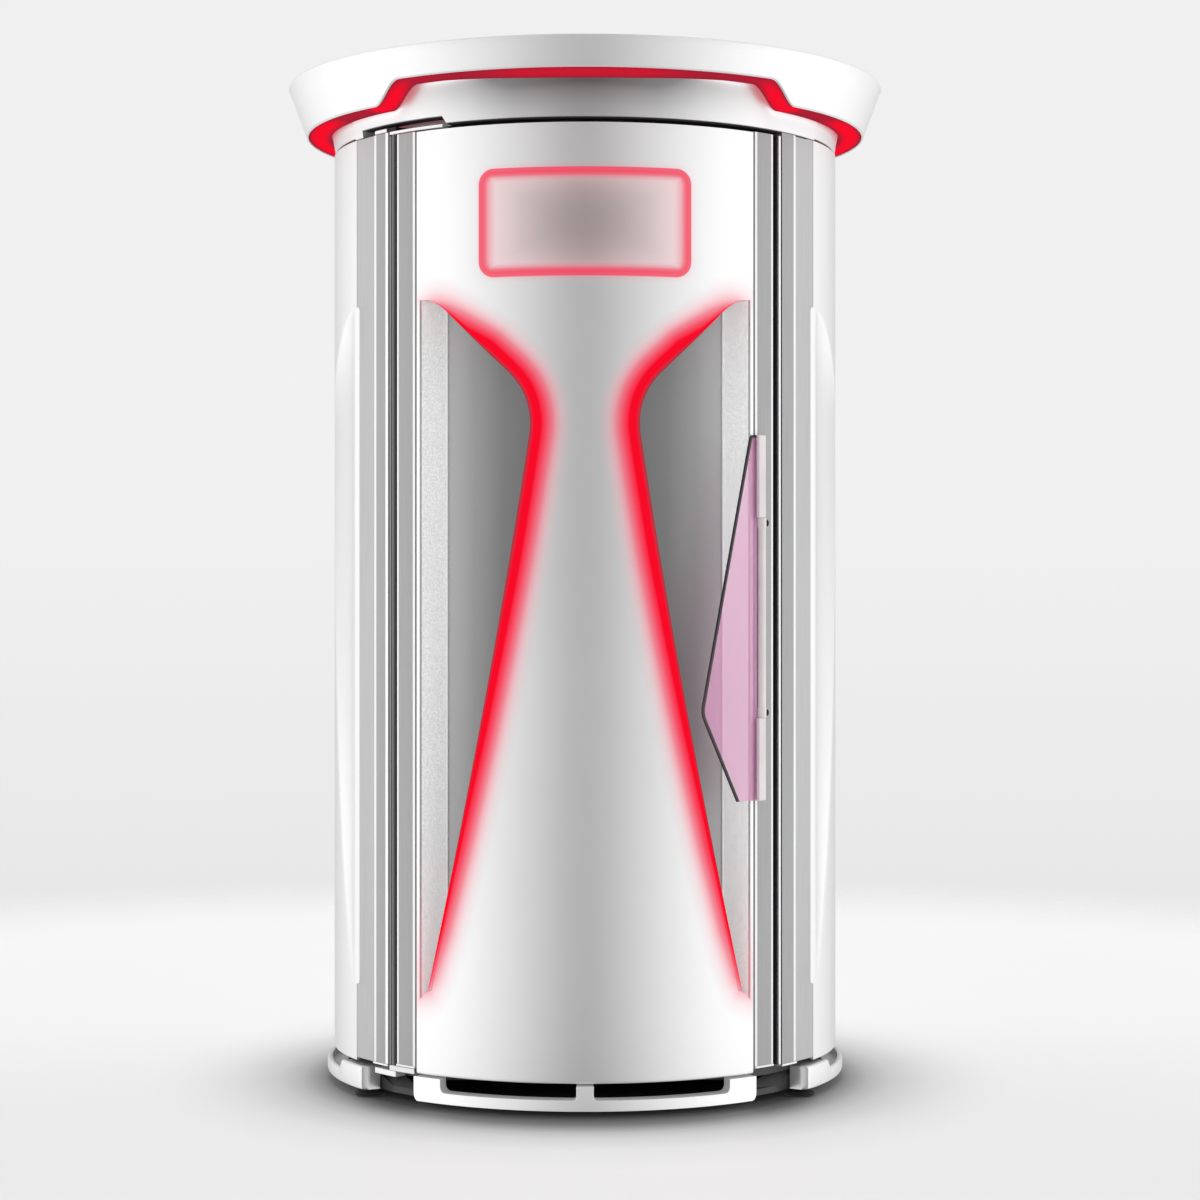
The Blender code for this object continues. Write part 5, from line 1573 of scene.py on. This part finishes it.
def floor_look():
    """White floor, darker towards the object's foot as a soft contact shade, and a little to the front."""
    look = base_look("floor_white", (0.85, 0.85, 0.845), 0.6)
    vary_colour(look, noise_at(look, 0.8), (0.845, 0.845, 0.84), (0.855, 0.855, 0.853))
    tree = look.node_tree
    place = add_node(tree, "ShaderNodeTexCoord").outputs["Object"]
    near, far = SHADE_SPAN
    oval = add_node(tree, "ShaderNodeMapping", Vector=place, Scale=SHADE_OVAL).outputs["Vector"]
    stops = [((r - near) / (far - near), grey(tone)) for r, tone in SHADE_STOPS]
    multiply_colour(look, ramp(tree, mapped(tree, length_of(tree, oval), SHADE_SPAN), stops))
    depth = add_node(tree, "ShaderNodeSeparateXYZ", Vector=place).outputs["Y"]
    multiply_colour(look, mapped(tree, depth, FRONT_SPAN, FRONT_TONES))
    set_look(look, Alpha=mapped(tree, length_of(tree, place), STAGE_FADE, (1.0, 0.0), smooth=True))
    return look


def add_sun():
    """A broad sun straight overhead."""
    data = bpy.data.lights.new("overhead", "SUN")
    data.energy = SUN_STRENGTH
    data.angle = math.radians(SUN_SPREAD)
    lamp = bpy.data.objects.new("overhead", data)
    lamp.location = (0, 0, 5)
    lamp.visible_glossy = False
    bpy.context.scene.collection.objects.link(lamp)


def world_tone(tree, value, stops):
    """A faintly cool grey in the world, from (place, tone) stops."""
    return ramp(tree, value, [(place, grey(tone, 1.005)) for place, tone in stops])


def build_world():
    """Pale surroundings, near even for the camera, that light the object from both sides."""
    world = bpy.data.worlds.new("studio")
    bpy.context.scene.world = world
    world.use_nodes = True
    tree = world.node_tree
    coords = add_node(tree, "ShaderNodeTexCoord")
    way = add_node(tree, "ShaderNodeSeparateXYZ", Vector=coords.outputs["Generated"]).outputs
    rear = mapped(tree, way["Y"], (0.0, 0.6), (1.0, 0.93))
    flank = calculated(tree, "MULTIPLY", calculated(tree, "ABSOLUTE", way["X"]), rear)
    behind = mapped(tree, way["Y"], (-0.1, 0.4), (0.0, 0.32))
    place = calculated(tree, "MAXIMUM", flank, behind)
    tone = world_tone(tree, place, WORLD_STOPS)
    lit = add_node(tree, "ShaderNodeBackground", Color=tone, Strength=WORLD_STRENGTH)
    seen = tree.nodes["Background"]
    height = mapped(tree, way["Z"], (-0.12, 0.20))
    set_sockets(tree, seen, {"Color": world_tone(tree, height, BACKDROP_STOPS)})
    path = add_node(tree, "ShaderNodeLightPath")
    mix = add_node(tree, "ShaderNodeMixShader", Fac=path.outputs["Is Camera Ray"])
    tree.links.new(lit.outputs["Background"], mix.inputs[1])
    tree.links.new(seen.outputs["Background"], mix.inputs[2])
    tree.links.new(mix.outputs["Shader"], tree.nodes["World Output"].inputs["Surface"])


def build_studio():
    build_stage()
    build_world()
    bpy.context.scene.view_settings.view_transform = "Standard"
    add_sun()


def build_camera():
    data = bpy.data.cameras.new("camera")
    data.sensor_width = SENSOR
    data.lens = LENS
    data.shift_x = LENS_SHIFT
    camera = bpy.data.objects.new("camera", data)
    camera.location = CAMERA_PLACE
    camera.rotation_euler = (math.radians(90), 0, 0)
    bpy.context.scene.collection.objects.link(camera)
    bpy.context.scene.camera = camera


build_camera()
build_studio()
build_door_skin()
for hand, side in SIDES:
    build_window(hand, side)
    build_shell(hand, side)
    build_skirt(hand, side)
    build_trim(hand, side)
for hand, side in ((-1, "hinge"), (1, "latch")):
    build_stile(hand, side)
    build_post(hand, side)
build_rails()
build_sign()
build_post_strips()
build_pull()
build_hinge()
build_rear()
build_canopy()
build_cover()
build_bumper()
build_feet()
build_cabin()
dress_nodes(SATIN, "roof_plate", "led_driver")
# The base plate's charcoal also paints the shade under the door, between the lobes and the bumper
dress_nodes(CHARCOAL, "base_plate", "platform", "catch_magnet", "power_inlet")
dress_nodes(CHARCOAL, "fan_duct", "fan_motor", "fan_rotor")
dress_nodes(RUBBER, "door_seal")
dress_nodes(RED_PLASTIC, "start_button", "main_switch")
